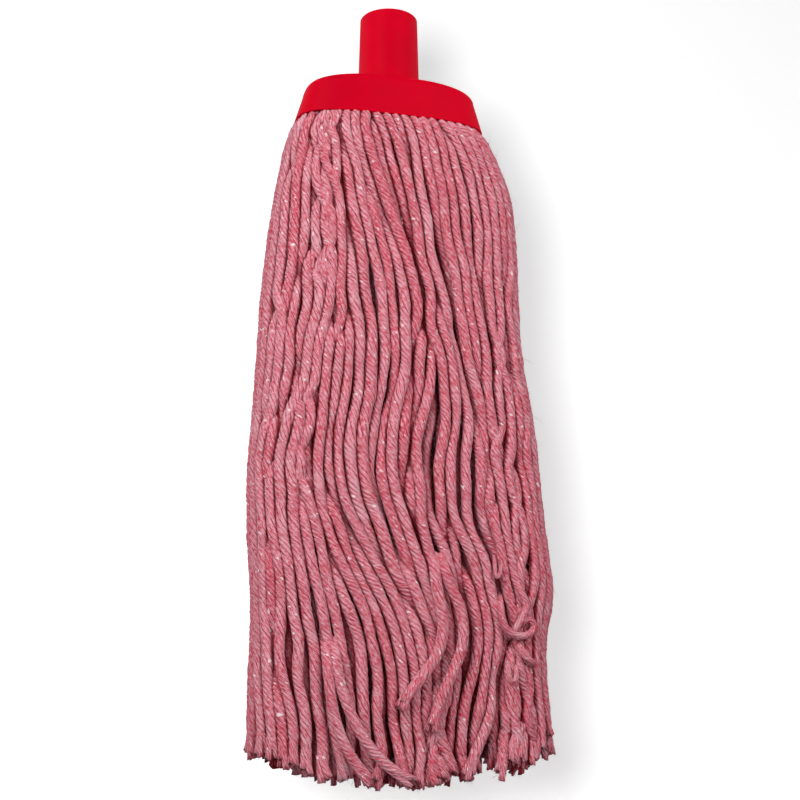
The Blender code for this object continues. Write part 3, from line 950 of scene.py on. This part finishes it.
    def path(self, strand, step):
        """Points along a strand at even steps, and its radius at each."""
        flat, radius = self.places[strand.number], self.shown[strand.number]
        heights = self.bundle.heights
        half = np.where(flat[-1, 0] > 0, self.bundle.right[-1], self.bundle.left[-1])
        aside = flat[-1, 0] / half
        arc = self.END_ARC * abs(aside) ** self.END_POWER
        end = STRING_END_Z - self.END_DROP + arc - self.END_LEAN * aside
        toward = flat[-1] @ np.array(self.bundle.camera_way.xy)
        end += self.END_TILT * max(self.bundle.front[-1] - toward, 0)
        end = max(end + abs(self.chance.gauss(0, self.END_RAGGED)), heights[-1])
        fine = np.linspace(heights[0], end, int((heights[0] - end) / self.FINE_STEP))
        columns = []
        for axis in (0, 1):
            column = np.interp(-fine, -heights, smoothed(flat[:, axis], self.LEVEL_SMOOTHING))
            columns.append(smoothed(column, self.FINE_SMOOTHING))
        points = np.stack((*columns, fine), axis=1)
        points, radius, at = evenly(points, np.interp(-fine, -heights, radius), step)
        return points, radius * (1 + smoothed([self.chance.gauss(0, self.LUMPS) for _ in at], 1)), at


def evenly(points, radius, step):
    """A course resampled at even steps along its length."""
    lengths = np.concatenate(([0], np.cumsum(np.linalg.norm(np.diff(points, axis=0), axis=1))))
    at = np.linspace(0, lengths[-1], max(int(lengths[-1] / step), FEWEST_POINTS))
    return between(at, lengths, points), np.interp(at, lengths, radius), at


def ply_profile(yarn):
    """The lobed section of a strand, one metre in radius, as a closed outline to sweep."""
    corners = (1 - yarn.ply_groove, PLY_FLANK, 1.0, PLY_FLANK)
    count = yarn.plies * len(corners)
    profile = bpy.data.curves.new("ply_profile", "CURVE")
    spline = profile.splines.new("POLY")
    spline.points.add(count - 1)
    spline.use_cyclic_u = True
    for i, point in enumerate(spline.points):
        reach = corners[i % len(corners)]
        turn = math.tau * i / count
        point.co = (reach * math.cos(turn), reach * math.sin(turn), 0, 1)
    return add_object("ply_profile", profile), count


# A strand in a sweep: its rings, the length along it at each, its number in the yarn's pattern, how much yarn
# lies before it by height and side for the painted shade, and whether its end is ragged.
Swept = namedtuple("Swept", "rings lengths number cover ragged")


class YarnSweep:
    """Twisted strands swept along their courses, as one mesh with its own maps."""

    # The twist wanders by these angles, in waves of these lengths.
    TWIST_DRIFT = 0.7
    TWIST_DRIFT_WAVE = 0.055
    TWIST_DRIFT_PHASE = 3
    TWIST_FLUTTER = 0.35
    TWIST_FLUTTER_WAVE = 0.023
    # Fine fibres that stand off a strand, and shorter ones at its end.
    FIBRE_RADIUS = 0.00008
    FIBRE_POINTS = 5
    FIBRE_CURL = 0.6
    FIBRE_BOW = 0.30
    FIBRE_TURN = 2.2
    FIBRE_TAPER = 0.5
    FIBRE_ROOT = 0.93
    FIBRE_LEAN = (0.1, 0.8)
    FIBRE_LENGTH = (0.002, 0.006)
    FIBRE_FROM = 8
    END_FIBRES = 1 / 3
    END_FIBRE_ROOT = (0.2, 0.9)
    END_FIBRE_LEAN = (-0.1, 0.7)
    END_FIBRE_LENGTH = (0.001, 0.0025)
    # The plies of a cut end, which are not of one length and spread.
    END_FRAY = 0.0014
    END_UNEVEN = (-0.2, 1.0)
    FRAYED_RINGS = 3
    END_SPREAD = (0.0, 0.35)
    END_SPLIT = 0.30
    # Plies that come apart at the end of a strand.
    OPEN_LENGTH = 0.011
    OPEN_FROM = 0.6
    OPEN_STAGGER = 0.2
    OPEN_NECK = (0.95, 0.85, 0.6)
    OPEN_PLIES = 4
    OPEN_PLY = 0.60
    OPEN_OFFSET = 0.40
    OPEN_SPLAY = (0.05, 0.65)
    OPEN_TURN = 1.4
    OPEN_UNEVEN = (-0.004, 0.002)
    OPEN_TAPER = 0.15
    OPEN_POINTS = 6
    # Margins in the maps, and the column of them that the fibres take.
    YARN_MARGIN = 0.001
    BAKE_MARGINS = (0.04, 0.005)
    FIBRE_COLUMN = 0.1
    FIBRE_MARGIN = 0.01
    WELD = 1e-6

    def __init__(self, name, yarn, profile, sides, chance):
        self.name = name
        self.yarn = yarn
        self.sides = sides
        self.chance = chance
        self.curve = bpy.data.curves.new(name, "CURVE")
        self.curve.dimensions = "3D"
        self.curve.bevel_mode = "OBJECT"
        self.curve.bevel_object = profile
        self.hairs = bpy.data.curves.new(name + "_fibres", "CURVE")
        self.hairs.dimensions = "3D"
        self.hairs.bevel_depth = self.FIBRE_RADIUS
        self.hairs.bevel_resolution = 0
        self.hairs.use_fill_caps = True
        self.strands = []

    def add_opened(self, points, radius, lengths, number, cover=None):
        """One strand whose plies come apart at its end."""
        kept = int(np.searchsorted(lengths, lengths[-1] - self.OPEN_LENGTH * self.OPEN_FROM))
        whole = radius[:kept].copy()
        whole[-len(self.OPEN_NECK) :] *= self.OPEN_NECK
        self.add(points[:kept], whole, lengths[:kept], number, cover, ragged=False)
        along = Vector(points[-1] - points[-3]).normalized()
        side = along.orthogonal().normalized()
        ways = np.array((side, along.cross(side)))
        phase = self.chance.uniform(0, math.tau)
        share = np.linspace(0, 1, self.OPEN_POINTS)
        for ply in range(self.OPEN_PLIES):
            reach = self.OPEN_LENGTH + self.chance.uniform(*self.OPEN_UNEVEN)
            splay = self.chance.uniform(*self.OPEN_SPLAY)
            stagger = self.chance.uniform(-self.OPEN_STAGGER, self.OPEN_STAGGER)
            turn = phase + (ply + stagger) / self.OPEN_PLIES * math.tau
            turn = turn - self.OPEN_TURN * (share - share**2 / 2)
            at = lengths[-1] - self.OPEN_LENGTH + share * reach
            course = between(at, lengths, points)
            course += np.clip(at - lengths[-1], 0, None)[:, None] * np.array(along)
            offset = radius[-1] * (self.OPEN_OFFSET + splay * share**2)
            course += (np.stack((np.cos(turn), np.sin(turn)), axis=1) @ ways) * offset[:, None]
            thick = radius[-1] * self.OPEN_PLY * (1 - self.OPEN_TAPER * share**3)
            self.add(course, thick, at, number, cover)

    def add(self, points, radius, lengths, number, cover=None, ragged=True):
        """One strand along a course."""
        spline = self.curve.splines.new("POLY")
        spline.points.add(len(points) - 1)
        spline.points.foreach_set("co", np.column_stack((points, np.ones(len(points)))).ravel())
        spline.points.foreach_set("radius", radius)
        phase = self.chance.uniform(0, math.tau)
        start = phase * self.TWIST_DRIFT_PHASE
        drift = self.TWIST_DRIFT * np.sin(lengths / self.TWIST_DRIFT_WAVE * math.tau + start)
        uneven = drift + self.TWIST_FLUTTER * np.sin(lengths / self.TWIST_FLUTTER_WAVE * math.tau)
        spline.points.foreach_set("tilt", phase + uneven - lengths / self.yarn.pitch * math.tau)
        self.strands.append(Swept(len(points), lengths, number, cover, ragged))

    def add_fibres(self, points, radius):
        """Loose fibres along a strand and at its end."""
        for _ in range(self.yarn.fibres):
            at = self.chance.randrange(self.FIBRE_FROM, len(points) - 2)
            along, out = self.ways(points[at], points[at + 1])
            way = along * self.chance.choice((-1, 1)) + out * self.chance.uniform(*self.FIBRE_LEAN)
            root = Vector(points[at]) + out * radius[at] * self.FIBRE_ROOT
            self.fibre(root, way.normalized(), out, self.chance.uniform(*self.FIBRE_LENGTH))
        for _ in range(int(self.yarn.fibres * self.END_FIBRES)):
            along, out = self.ways(points[-2], points[-1])
            root = Vector(points[-1]) + out * radius[-1] * self.chance.uniform(*self.END_FIBRE_ROOT)
            way = along + out * self.chance.uniform(*self.END_FIBRE_LEAN)
            self.fibre(root, way.normalized(), out, self.chance.uniform(*self.END_FIBRE_LENGTH))

    def ways(self, start, end):
        """The way along a strand and a random way out of it."""
        along = Vector(end - start).normalized()
        around = self.chance.uniform(0, math.tau)
        side = along.orthogonal().normalized()
        return along, side * math.cos(around) + along.cross(side) * math.sin(around)

    def fibre(self, root, along, out, length):
        """A loose fibre that leaves a strand at its root and curls away."""
        spline = self.hairs.splines.new("POLY")
        spline.points.add(self.FIBRE_POINTS - 1)
        curl = self.chance.uniform(-self.FIBRE_CURL, self.FIBRE_CURL)
        side = along.cross(out)
        for i, point in enumerate(spline.points):
            share = i / (self.FIBRE_POINTS - 1)
            bow = out * (math.sin(share * self.FIBRE_TURN) * self.FIBRE_BOW) + side * (curl * share**2)
            point.co = (*(root + (along * share + bow) * length), 1)
            point.radius = 1 - self.FIBRE_TAPER * share

    def mesh(self):
        """Makes the mesh, closes its ends and lays out its maps."""
        obj = as_mesh(self.name, self.curve)
        self.fray(obj.data)
        bpy.ops.object.mode_set(mode="EDIT")
        bpy.ops.mesh.select_all(action="DESELECT")
        bpy.ops.mesh.select_mode(type="EDGE")
        bpy.ops.mesh.select_non_manifold()
        bpy.ops.mesh.fill_holes(sides=0)
        bpy.ops.object.mode_set(mode="OBJECT")
        self.maps(obj.data)
        self.darken(obj.data)
        if self.hairs.splines:
            self.join_hairs(obj)
        bpy.ops.object.shade_smooth()
        return obj

    def fray(self, mesh):
        """Cuts each strand's end raggedly and lets its plies spread there."""
        first = 0
        per_ply = self.sides // self.yarn.plies
        for strand in self.strands:
            last = first + (strand.rings - 1) * self.sides
            first += strand.rings * self.sides
            if not strand.ragged:
                continue
            middles = []
            for back in range(self.FRAYED_RINGS + 1):
                ring = [mesh.vertices[last - back * self.sides + i].co for i in range(self.sides)]
                middles.append(sum(ring, Vector()) / self.sides)
            along = (middles[0] - middles[1]).normalized()
            for ply in range(self.yarn.plies):
                reach = along * self.chance.uniform(*self.END_UNEVEN) * self.END_FRAY
                spread = self.chance.uniform(*self.END_SPREAD)
                for i in range(per_ply):
                    for back in range(self.FRAYED_RINGS):
                        share = (1 - back / self.FRAYED_RINGS) ** 2
                        vertex = mesh.vertices[last - back * self.sides + ply * per_ply + i]
                        growth = spread if i else -self.END_SPLIT
                        vertex.co += (vertex.co - middles[back]) * growth * share + reach * (back == 0)

    def maps(self, mesh):
        """The yarn map runs round and along each strand; the bake map sets the strands side by side."""
        counts = [strand.rings * self.sides for strand in self.strands]
        turn = np.tile(np.arange(self.sides) / self.sides, sum(counts) // self.sides)
        along = np.concatenate([np.repeat(strand.lengths, self.sides) for strand in self.strands])
        order = np.repeat(np.arange(len(counts)), counts)
        number = np.array([strand.number for strand in self.strands])[order]
        corners = np.empty(len(mesh.loops), dtype=int)
        mesh.loops.foreach_get("vertex_index", corners)
        round_ = turn[corners]
        # A face that closes the round ends at 1, where the next round's first side starts at 0.
        for face in mesh.polygons:
            if face.loop_total == 4:
                at = slice(face.loop_start, face.loop_start + 4)
                if round_[at].max() - round_[at].min() > 0.5:
                    round_[at][round_[at] < 0.25] = 1.0
        aside, below = self.BAKE_MARGINS
        across = number[corners] + within(round_, self.YARN_MARGIN)
        add_map(mesh, "yarn", across, along[corners] * CENTIMETRES_PER_METRE)
        column = (order[corners] + within(round_, aside)) / (len(self.strands) + 1)
        add_map(mesh, "OFBake", column, within(along[corners] / along.max(), below))
        mesh.uv_layers.remove(mesh.uv_layers["UVMap"])

    def darken(self, mesh):
        """Notes on each vertex how far it is covered by other yarn, which the yarn's colour shows as painted
        shade.
        """
        places = np.empty(len(mesh.vertices) * 3)
        mesh.vertices.foreach_get("co", places)
        places = places.reshape(-1, 3)
        covered = np.zeros(len(places))
        first = 0
        for strand in self.strands:
            count = strand.rings * self.sides
            if strand.cover is not None:
                heights, table = strand.cover
                ring = places[first : first + count].reshape(strand.rings, self.sides, 3)
                middle = ring.mean(axis=1, keepdims=True)
                turn = np.arctan2(ring[..., 1] - middle[..., 1], ring[..., 0] - middle[..., 0])
                level = np.interp(-middle[..., 0, 2], -heights, np.arange(len(heights)))
                side = (turn + math.pi) / math.tau * (table.shape[1] - 1)
                low, part = np.floor(side).astype(int), side % 1
                rows = np.clip(np.round(level).astype(int), 0, len(heights) - 1)[:, None]
                high = np.minimum(low + 1, table.shape[1] - 1)
                cover = table[rows, low] * (1 - part) + table[rows, high] * part
                covered[first : first + count] = cover.ravel()
            first += count
        mesh.attributes.new("cover", "FLOAT", "POINT").data.foreach_set("value", covered)

    def join_hairs(self, obj):
        """Makes the loose fibres a mesh with maps of its own and joins it to the strands."""
        fibres = as_mesh(self.name + "_fibres", self.hairs)
        mesh = fibres.data
        bpy.ops.object.mode_set(mode="EDIT")
        bpy.ops.mesh.select_all(action="SELECT")
        bpy.ops.mesh.remove_doubles(threshold=self.WELD)
        bpy.ops.mesh.normals_make_consistent()
        bpy.ops.object.mode_set(mode="OBJECT")
        while mesh.uv_layers:
            mesh.uv_layers.remove(mesh.uv_layers[0])
        last_column = (len(self.strands) + 0.5) / (len(self.strands) + 1)
        for name, across in (("yarn", self.FIBRE_COLUMN), ("OFBake", last_column)):
            shares = np.linspace(self.FIBRE_MARGIN, 1 - self.FIBRE_MARGIN, len(mesh.loops))
            add_map(mesh, name, np.full(len(shares), across), shares)
        only(obj)
        fibres.select_set(True)
        bpy.ops.object.join()


def within(shares, margin):
    """Shares from 0 to 1 squeezed in between margins."""
    return margin + shares * (1 - 2 * margin)


def add_map(mesh, name, across, along):
    mesh.uv_layers.new(name=name).data.foreach_set("uv", np.column_stack((across, along)).ravel())


class MOP_OT_strings(bpy.types.Operator):
    """Strands of twisted yarn in every lock"""

    bl_idname = "mop.strings"
    bl_label = "Strings"

    STEPS = (0.0019, 0.0026, 0.0036)

    def execute(self, context):
        yarn, cap, stage = context.scene.mop_yarn, context.scene.mop_cap, context.scene.mop_stage
        bundle = Bundle(yarn, cap, stage)
        names = self.lock_names(bundle)
        groups = [name.rsplit("_lock_", 1)[0] for name in names]
        strings = Strings(yarn, bundle, Courses(bundle, stage), groups)
        finish = yarn_finish(yarn)
        profile, sides = ply_profile(yarn)
        loose = [strings.loose(*entry) for entry in LOOSE_STRANDS.values()]
        for lock, name in enumerate(names):
            body = groups[lock] + "_strings"
            sweep = YarnSweep(name.replace("_lock_", "_yarn_"), yarn, profile, sides, strings.chance)
            for strand in strings.strands:
                if strand.lock == lock:
                    points, radius, lengths = strings.path(strand, self.STEPS[strand.layer])
                    outside = strand.layer < OPENED_LAYERS
                    add = sweep.add_opened if outside else sweep.add
                    add(points, radius, lengths, strand.number, strings.cover_of(strand))
                    if outside:
                        sweep.add_fibres(points, radius)
            for i, (points, radius, hung_from, tucked) in enumerate(loose):
                if hung_from == lock:
                    add = sweep.add if tucked else sweep.add_opened
                    add(*evenly(points, radius, self.STEPS[0] / 2), len(strings.strands) + i)
            made = sweep.mesh()
            finished(made, finish)
            hinge = Vector(HINGES[body]["pos_m"])
            below = Vector((hinge.x, hinge.y, LIP_Z - yarn.bend))
            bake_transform(made, "head", body, start=Vector((hinge.x, hinge.y, LIP_Z)), end=below)
            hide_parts(name)
        bpy.data.objects.remove(profile)
        return {"FINISHED"}

    def lock_names(self, bundle):
        """The locks in order round the bundle from its left edge, through the front."""
        def share(name):
            low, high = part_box(name)
            outline = bundle.rounds[len(bundle.rounds) // 2]
            apart = np.linalg.norm(outline.points - np.array((low + high)[:2]) / 2, axis=1)
            return outline.share[np.argmin(apart)]
        return sorted(LOCK_NODES, key=share)


class MOP_OT_folds(bpy.types.Operator):
    """The yarn's fold over the clamp bar, inside the cap"""

    bl_idname = "mop.folds"
    bl_label = "Yarn folds"

    SEED = 11
    STEP = 0.002
    MARGIN = 0.0006
    REACH = 0.038
    SQUEEZE = 0.9
    SPACING = 2.1
    CORNER = 1.6
    CORNER_POINTS = 9

    def execute(self, context):
        yarn = context.scene.mop_yarn
        profile, sides = ply_profile(yarn)
        sweep = YarnSweep("yarn_folds", yarn, profile, sides, random.Random(self.SEED))
        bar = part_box("clamp_bar")[1]
        for name in FOLD_NODES:
            low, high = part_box(name)
            radius = min(yarn.diameter, high.z - bar.z - self.MARGIN) / 2 * self.SQUEEZE
            count = max(int((high.x - low.x) / (self.SPACING * radius)), 1)
            ends = np.clip((low.x, high.x), -self.REACH, self.REACH)
            for i in range(count):
                points = self.loop(np.interp((i + 0.5) / count, (0, 1), ends), bar, low, radius)
                course = evenly(points, np.full(len(points), radius), self.STEP)
                sweep.add(*course, len(sweep.strands))
        made = sweep.mesh()
        bpy.data.objects.remove(profile)
        finished(made, bpy.data.materials["pink_melange_yarn"])
        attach(made, "head")
        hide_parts(*FOLD_NODES)
        return {"FINISHED"}

    def loop(self, x, bar, low, radius):
        """Half a turn over the bar, from one side of the slot to the other."""
        reach = min(bar.y + radius + self.MARGIN, -low.y - radius)
        top = bar.z + radius + self.MARGIN
        corner = radius * self.CORNER
        turns = np.linspace(0, math.pi / 2, self.CORNER_POINTS)
        side = np.column_stack((-reach + corner * (1 - np.cos(turns)), top - corner * (1 - np.sin(turns))))
        half = np.concatenate(([[-reach, low.z + radius]], side))
        flat = np.concatenate((half, half[::-1] * (-1, 1)))
        return np.column_stack((np.full(len(flat), x), flat))


class MOP_OT_cap(bpy.types.Operator):
    """The moulded cap with its handle socket"""

    bl_idname = "mop.cap"
    bl_label = "Cap"

    SIDES = 128
    BOSS_SIDES = 32
    ARC_STEPS = 8
    ROOF_ARC = 0.005
    SMOOTH_ANGLE = 32
    BOSS_GAP = 0.0003
    PILOT_MOUTH = 0.001
    WELD = 1e-6

    def execute(self, context):
        cap = context.scene.mop_cap
        made = self.body(cap)
        for node in SCREW_NODES:
            self.join_boss(made, cap, node)
        only(made)
        bpy.ops.object.shade_smooth_by_angle(angle=math.radians(self.SMOOTH_ANGLE))
        red = plastic_finish("red_moulded_plastic", cap.red, roughness=0.48, specular=0.02, grain=2600.0)
        finished(made, red)
        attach(made, "head")
        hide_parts("socket_cap")
        return {"FINISHED"}

    def rings(self, cap):
        """The cap's skin from its ceiling, round the lip, over the roof, up the socket and down its bore.
        Each ring gives a vertex's place from its turn."""
        low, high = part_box("socket_cap")
        lip = ((high.x - low.x) / 2, (high.y - low.y) / 2)
        roof = (cap.roof_length / 2, cap.roof_width / 2)
        roof_z = LIP_Z + cap.height
        rim = cap.bore / 2 + cap.socket_wall
        quarter = np.linspace(0, math.pi / 2, self.ARC_STEPS + 1)

        def skirt(z, inset):
            share = (z - LIP_Z) / cap.height
            length, width = (outer + (inner - outer) * share - inset for outer, inner in zip(lip, roof))
            return lambda turn: self.oblong(turn, length, width, cap.squareness, z)

        def disc(radius, z):
            return lambda turn: self.oblong(turn, radius, radius, 2.0, z)

        def crowned(ring):
            return lambda turn: ring(turn) - Vector((0, 0, cap.crown * (ring(turn).x / roof[0]) ** 2))

        brim = crowned(skirt(roof_z - cap.shoulder, 0))
        foot = crowned(disc(rim + cap.socket_flare, roof_z - cap.shoulder))

        def shoulder(step):
            reach, rise = cap.shoulder * (1 - math.cos(step)), cap.shoulder * math.sin(step)
            return lambda turn: self.crossing(brim(turn), foot(turn), reach, rise)

        def fillet(step):
            reach, rise = cap.foot * (1 - math.sin(step)), cap.shoulder + cap.foot * (1 - math.cos(step))
            return lambda turn: self.crossing(foot(turn), brim(turn), reach, rise)

        ceiling = roof_z - cap.roof_wall
        edge = cap.lip_round
        yield skirt(ceiling, cap.wall)
        for turn in quarter:
            yield skirt(LIP_Z + edge * (1 - math.sin(turn)), cap.wall - edge * (1 - math.cos(turn)))
        for turn in quarter:
            yield skirt(LIP_Z + edge * (1 - math.cos(turn)), edge * (1 - math.sin(turn)))
        yield from map(shoulder, quarter)
        yield from map(fillet, quarter)
        for turn in quarter:
            yield disc(rim - edge * (1 - math.cos(turn)), -edge * (1 - math.sin(turn)))
        for turn in quarter:
            yield disc(cap.bore / 2 + edge * (1 - math.sin(turn)), -edge * (1 - math.cos(turn)))
        yield disc(cap.bore / 2, ceiling + cap.bore_floor)

    def crossing(self, start, end, reach, rise):
        """A point on the way from one edge of the roof to the other, within the half that each may take."""
        way = end - start
        return start + way * min(reach / way.length, 0.5 * reach / self.ROOF_ARC) + Vector((0, 0, rise))

    def body(self, cap):
        """Extrudes the cap ring by ring from a disc."""
        bpy.ops.object.select_all(action="DESELECT")
        bpy.ops.mesh.primitive_circle_add(vertices=self.SIDES, radius=1.0, fill_type="NGON")
        made = bpy.context.object
        made.name = made.data.name = "moulded_cap"
        bpy.ops.object.mode_set(mode="EDIT")
        shape = bmesh.from_edit_mesh(made.data)
        turn_of = shape.verts.layers.float.new("turn")
        for vert in shape.verts:
            vert[turn_of] = math.atan2(vert.co.y, vert.co.x)
        for i, ring in enumerate(self.rings(cap)):
            if i:
                bpy.ops.mesh.extrude_region()
            shape = bmesh.from_edit_mesh(made.data)
            turn_of = shape.verts.layers.float["turn"]
            for vert in shape.verts:
                if vert.select:
                    vert.co = ring(vert[turn_of])
            bmesh.update_edit_mesh(made.data)
        bpy.ops.mesh.select_all(action="SELECT")
        bpy.ops.mesh.remove_doubles(threshold=self.WELD)
        bpy.ops.mesh.normals_make_consistent(inside=False)
        bpy.ops.object.mode_set(mode="OBJECT")
        made.data.attributes.remove(made.data.attributes["turn"])
        return made

    def oblong(self, turn, length, width, squareness, z):
        power = 2 / squareness
        x = math.copysign(abs(math.cos(turn)) ** power, math.cos(turn))
        y = math.copysign(abs(math.sin(turn)) ** power, math.sin(turn))
        return Vector((x * length, y * width, z))

    def join_boss(self, made, cap, node):
        """A boss under the ceiling, with the screw's pilot hole."""
        low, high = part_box(node)
        x = (low.x + high.x) / 2
        ceiling = LIP_Z + cap.height - cap.roof_wall
        for diameter, top, bottom, operation in (
            (cap.boss, ceiling + cap.roof_wall / 2, BAR_TOP_Z + self.BOSS_GAP, "UNION"),
            (cap.pilot, high.z + self.BOSS_GAP, BAR_TOP_Z - self.PILOT_MOUTH, "DIFFERENCE"),
        ):
            bpy.ops.object.select_all(action="DESELECT")
            middle = (x, 0, (top + bottom) / 2)
            bpy.ops.mesh.primitive_cylinder_add(
                vertices=self.BOSS_SIDES, radius=diameter / 2, depth=top - bottom, location=middle
            )
            tool = bpy.context.object
            only(made)
            change = made.modifiers.new(operation.lower(), "BOOLEAN")
            change.operation = operation
            change.solver = "EXACT"
            change.object = tool
            bpy.ops.object.modifier_apply(modifier=change.name)
            bpy.data.objects.remove(tool)


class MOP_OT_clamp(bpy.types.Operator):
    """Finishes of the clamp bar and its screws"""

    bl_idname = "mop.clamp"
    bl_label = "Clamp"

    GREY = (0.42, 0.41, 0.39)

    def execute(self, context):
        bar = plastic_finish("bar_plastic_grey", self.GREY, roughness=0.5, specular=0.4, grain=1800.0)
        zinc = zinc_finish()
        for name, finish in [("clamp_bar", bar)] + [(name, zinc) for name in SCREW_NODES]:
            slots = frame["nodes"][name].data.materials
            slots.clear()
            slots.append(finish)
        return {"FINISHED"}


class MOP_OT_stage(bpy.types.Operator):
    """White floor and backdrop, soft light and the camera"""

    bl_idname = "mop.stage"
    bl_label = "Stage"

    WHITE = (1.0, 1.0, 1.0, 1.0)
    PAPER = (0.8, 0.8, 0.8, 1.0)
    CLIP = (0.01, 20.0)
    # Size and glow of each plane.
    FLOOR = (6.0, 0.86)
    BACKDROP = (1.1, 0.57)
    BACKDROP_MIDDLE = (0.10, -0.07)
    LAMP_OFFSET = (-0.060, 0.042)
    LAMP_SIZE = 0.10
    LAMP_POWER = 9.2
    # Turn and height angle from the mop in degrees, distance, size and light level.
    SOFT_BOXES = {
        "left_box": (-46, 24, 1.2, 0.75, 0.77),
        "right_box": (26, 22, 1.2, 0.8, 0.54),
        "rear_box": (165, 15, 1.2, 0.75, 0.55),
    }
    CAP_STRIPS = {
        "left_strip": (-112, 10, 0.8, 0.5, 0.62),
        "right_strip": (80, 10, 0.8, 0.5, 0.44),
    }
    SKY = 0.14

    def execute(self, context):
        stage = context.scene.mop_stage
        camera = self.camera(context, stage)
        self.world(context)
        self.lamps(stage, camera, self.planes(stage))
        context.scene.view_settings.view_transform = "Standard"
        return {"FINISHED"}

    def camera(self, context, stage):
        back = direction(stage.azimuth, stage.elevation)
        data = bpy.data.cameras.new("camera")
        data.lens = stage.lens
        data.sensor_width = stage.sensor
        data.clip_start, data.clip_end = self.CLIP
        camera = add_object("camera", data)
        camera.location = Vector(stage.aim) + back * stage.distance
        camera.rotation_euler = (-back).to_track_quat("-Z", "Y").to_euler()
        context.scene.camera = camera
        return camera

    def lamp(self, name, place, aim, size, power):
        data = bpy.data.lights.new(name, "AREA")
        data.shape = "DISK"
        data.size = size
        data.energy = power
        lamp = add_object(name, data)
        lamp.location = place
        lamp.rotation_euler = (aim - place).to_track_quat("-Z", "Y").to_euler()
        return lamp

    def soft_lamp(self, name, aim, azimuth, elevation, distance, size, level):
        place = aim + direction(math.radians(azimuth), math.radians(elevation)) * distance
        return self.lamp(name, place, aim, size, level * (math.pi * distance) ** 2)

    def light_only(self, lamp, pieces, state):
        """Lets a lamp light some pieces alone, or all but them."""
        group = bpy.data.collections.new(lamp.name + "_pieces")
        for piece in pieces:
            group.objects.link(piece)
        for entry in group.collection_objects:
            entry.light_linking.link_state = state
        lamp.light_linking.receiver_collection = group

    def lamps(self, stage, camera, planes):
        """A small lamp just off the camera throws the shadow on the paper. Soft boxes, which the paper does
        not block, light the mop, and a strip on each side of it lights the cap's edges."""
        aim = Vector(stage.aim)
        turn = camera.rotation_euler.to_matrix()
        beside = camera.location + turn @ Vector((*self.LAMP_OFFSET, 0.0))
        shadow = self.lamp("shadow_lamp", beside, aim, self.LAMP_SIZE, self.LAMP_POWER)
        self.light_only(shadow, planes, "INCLUDE")
        for name, sizes in self.SOFT_BOXES.items():
            soft = self.soft_lamp(name, aim, *sizes)
            self.light_only(soft, planes, "EXCLUDE")
            soft.light_linking.blocker_collection = soft.light_linking.receiver_collection
        for name, sizes in self.CAP_STRIPS.items():
            strip = self.soft_lamp(name, Vector((0, 0, LIP_Z)), *sizes)
            self.light_only(strip, [bpy.data.objects["moulded_cap"]], "INCLUDE")

    def world(self, context):
        """A dim sky, which is white where it is looked at, mirrored or seen through."""
        world = bpy.data.worlds.new("white_room")
        world.use_nodes = True
        nodes = Nodes(world.node_tree)
        looks = nodes.ray("Camera") + nodes.ray("Glossy") + nodes.ray("Transmission")
        level = nodes.node("ShaderNodeMapRange", {}, {"Value": looks, "To Min": self.SKY, "To Max": 1.0})
        sky = nodes.tree.nodes["Background"]
        nodes.feed(sky.inputs["Color"], self.WHITE)
        nodes.feed(sky.inputs["Strength"], level)
        context.scene.world = world

    def planes(self, stage):
        """A pale floor under the mop and a backdrop behind it that shows from the front only."""
        planes = []
        aside, up = self.BACKDROP_MIDDLE
        for name, place, turn, (size, glow) in (
            ("floor", (0, 0, stage.floor_z), (0, 0, 0), self.FLOOR),
            ("backdrop", (aside, stage.backdrop_y, up), (math.pi / 2, 0, 0), self.BACKDROP),
        ):
            bpy.ops.object.select_all(action="DESELECT")
            bpy.ops.mesh.primitive_plane_add(size=size, location=place, rotation=turn)
            plane = bpy.context.object
            plane.name = name
            bpy.ops.object.transform_apply(location=True, rotation=True)
            plane.data.materials.append(self.paper(name, glow))
            planes.append(plane)
        return planes

    def paper(self, name, level):
        """White paper: its glow and the light on it make white, less what a shadow takes. It has no back."""
        finish = Finish(name + "_paper")
        finish.set(Base_Color=self.PAPER, Roughness=0.9, Specular_IOR_Level=0.0)
        glowing = {"Color": rgba((level, level, level)), "Strength": finish.ray("Camera")}
        glow = finish.node("ShaderNodeEmission", {}, glowing)
        both = finish.node("ShaderNodeAddShader", {}, {0: Value(finish, finish.shader.outputs[0]), 1: glow})
        back = finish.node("ShaderNodeNewGeometry", {}, {}, "Backfacing")
        clear = finish.node("ShaderNodeBsdfTransparent")
        sided = finish.node("ShaderNodeMixShader", {}, {0: back, 1: both, 2: clear})
        finish.feed(finish.tree.nodes["Material Output"].inputs["Surface"], sided)
        return finish.material


class MOP_PT_pieces(bpy.types.Panel):
    """Pieces of the mop head"""

    bl_label = "String mop head"
    bl_idname = "MOP_PT_pieces"
    bl_space_type = "VIEW_3D"
    bl_region_type = "UI"
    bl_category = "Mop"

    def draw(self, context):
        for operator in OPERATORS:
            self.layout.operator(operator.bl_idname)


SETTINGS = {"mop_yarn": MopYarnSettings, "mop_cap": MopCapSettings, "mop_stage": MopStageSettings}
OPERATORS = (MOP_OT_cap, MOP_OT_clamp, MOP_OT_strings, MOP_OT_folds, MOP_OT_stage)


def register():
    for kind in (*SETTINGS.values(), *OPERATORS, MOP_PT_pieces):
        bpy.utils.register_class(kind)
    for name, kind in SETTINGS.items():
        setattr(bpy.types.Scene, name, PointerProperty(type=kind))


def unregister():
    for name in SETTINGS:
        delattr(bpy.types.Scene, name)
    for kind in reversed((*SETTINGS.values(), *OPERATORS, MOP_PT_pieces)):
        bpy.utils.unregister_class(kind)


def main():
    register()
    bpy.ops.mop.cap()
    bpy.ops.mop.clamp()
    bpy.ops.mop.strings()
    bpy.ops.mop.folds()
    bpy.ops.mop.stage()


if __name__ == "__main__":
    main()
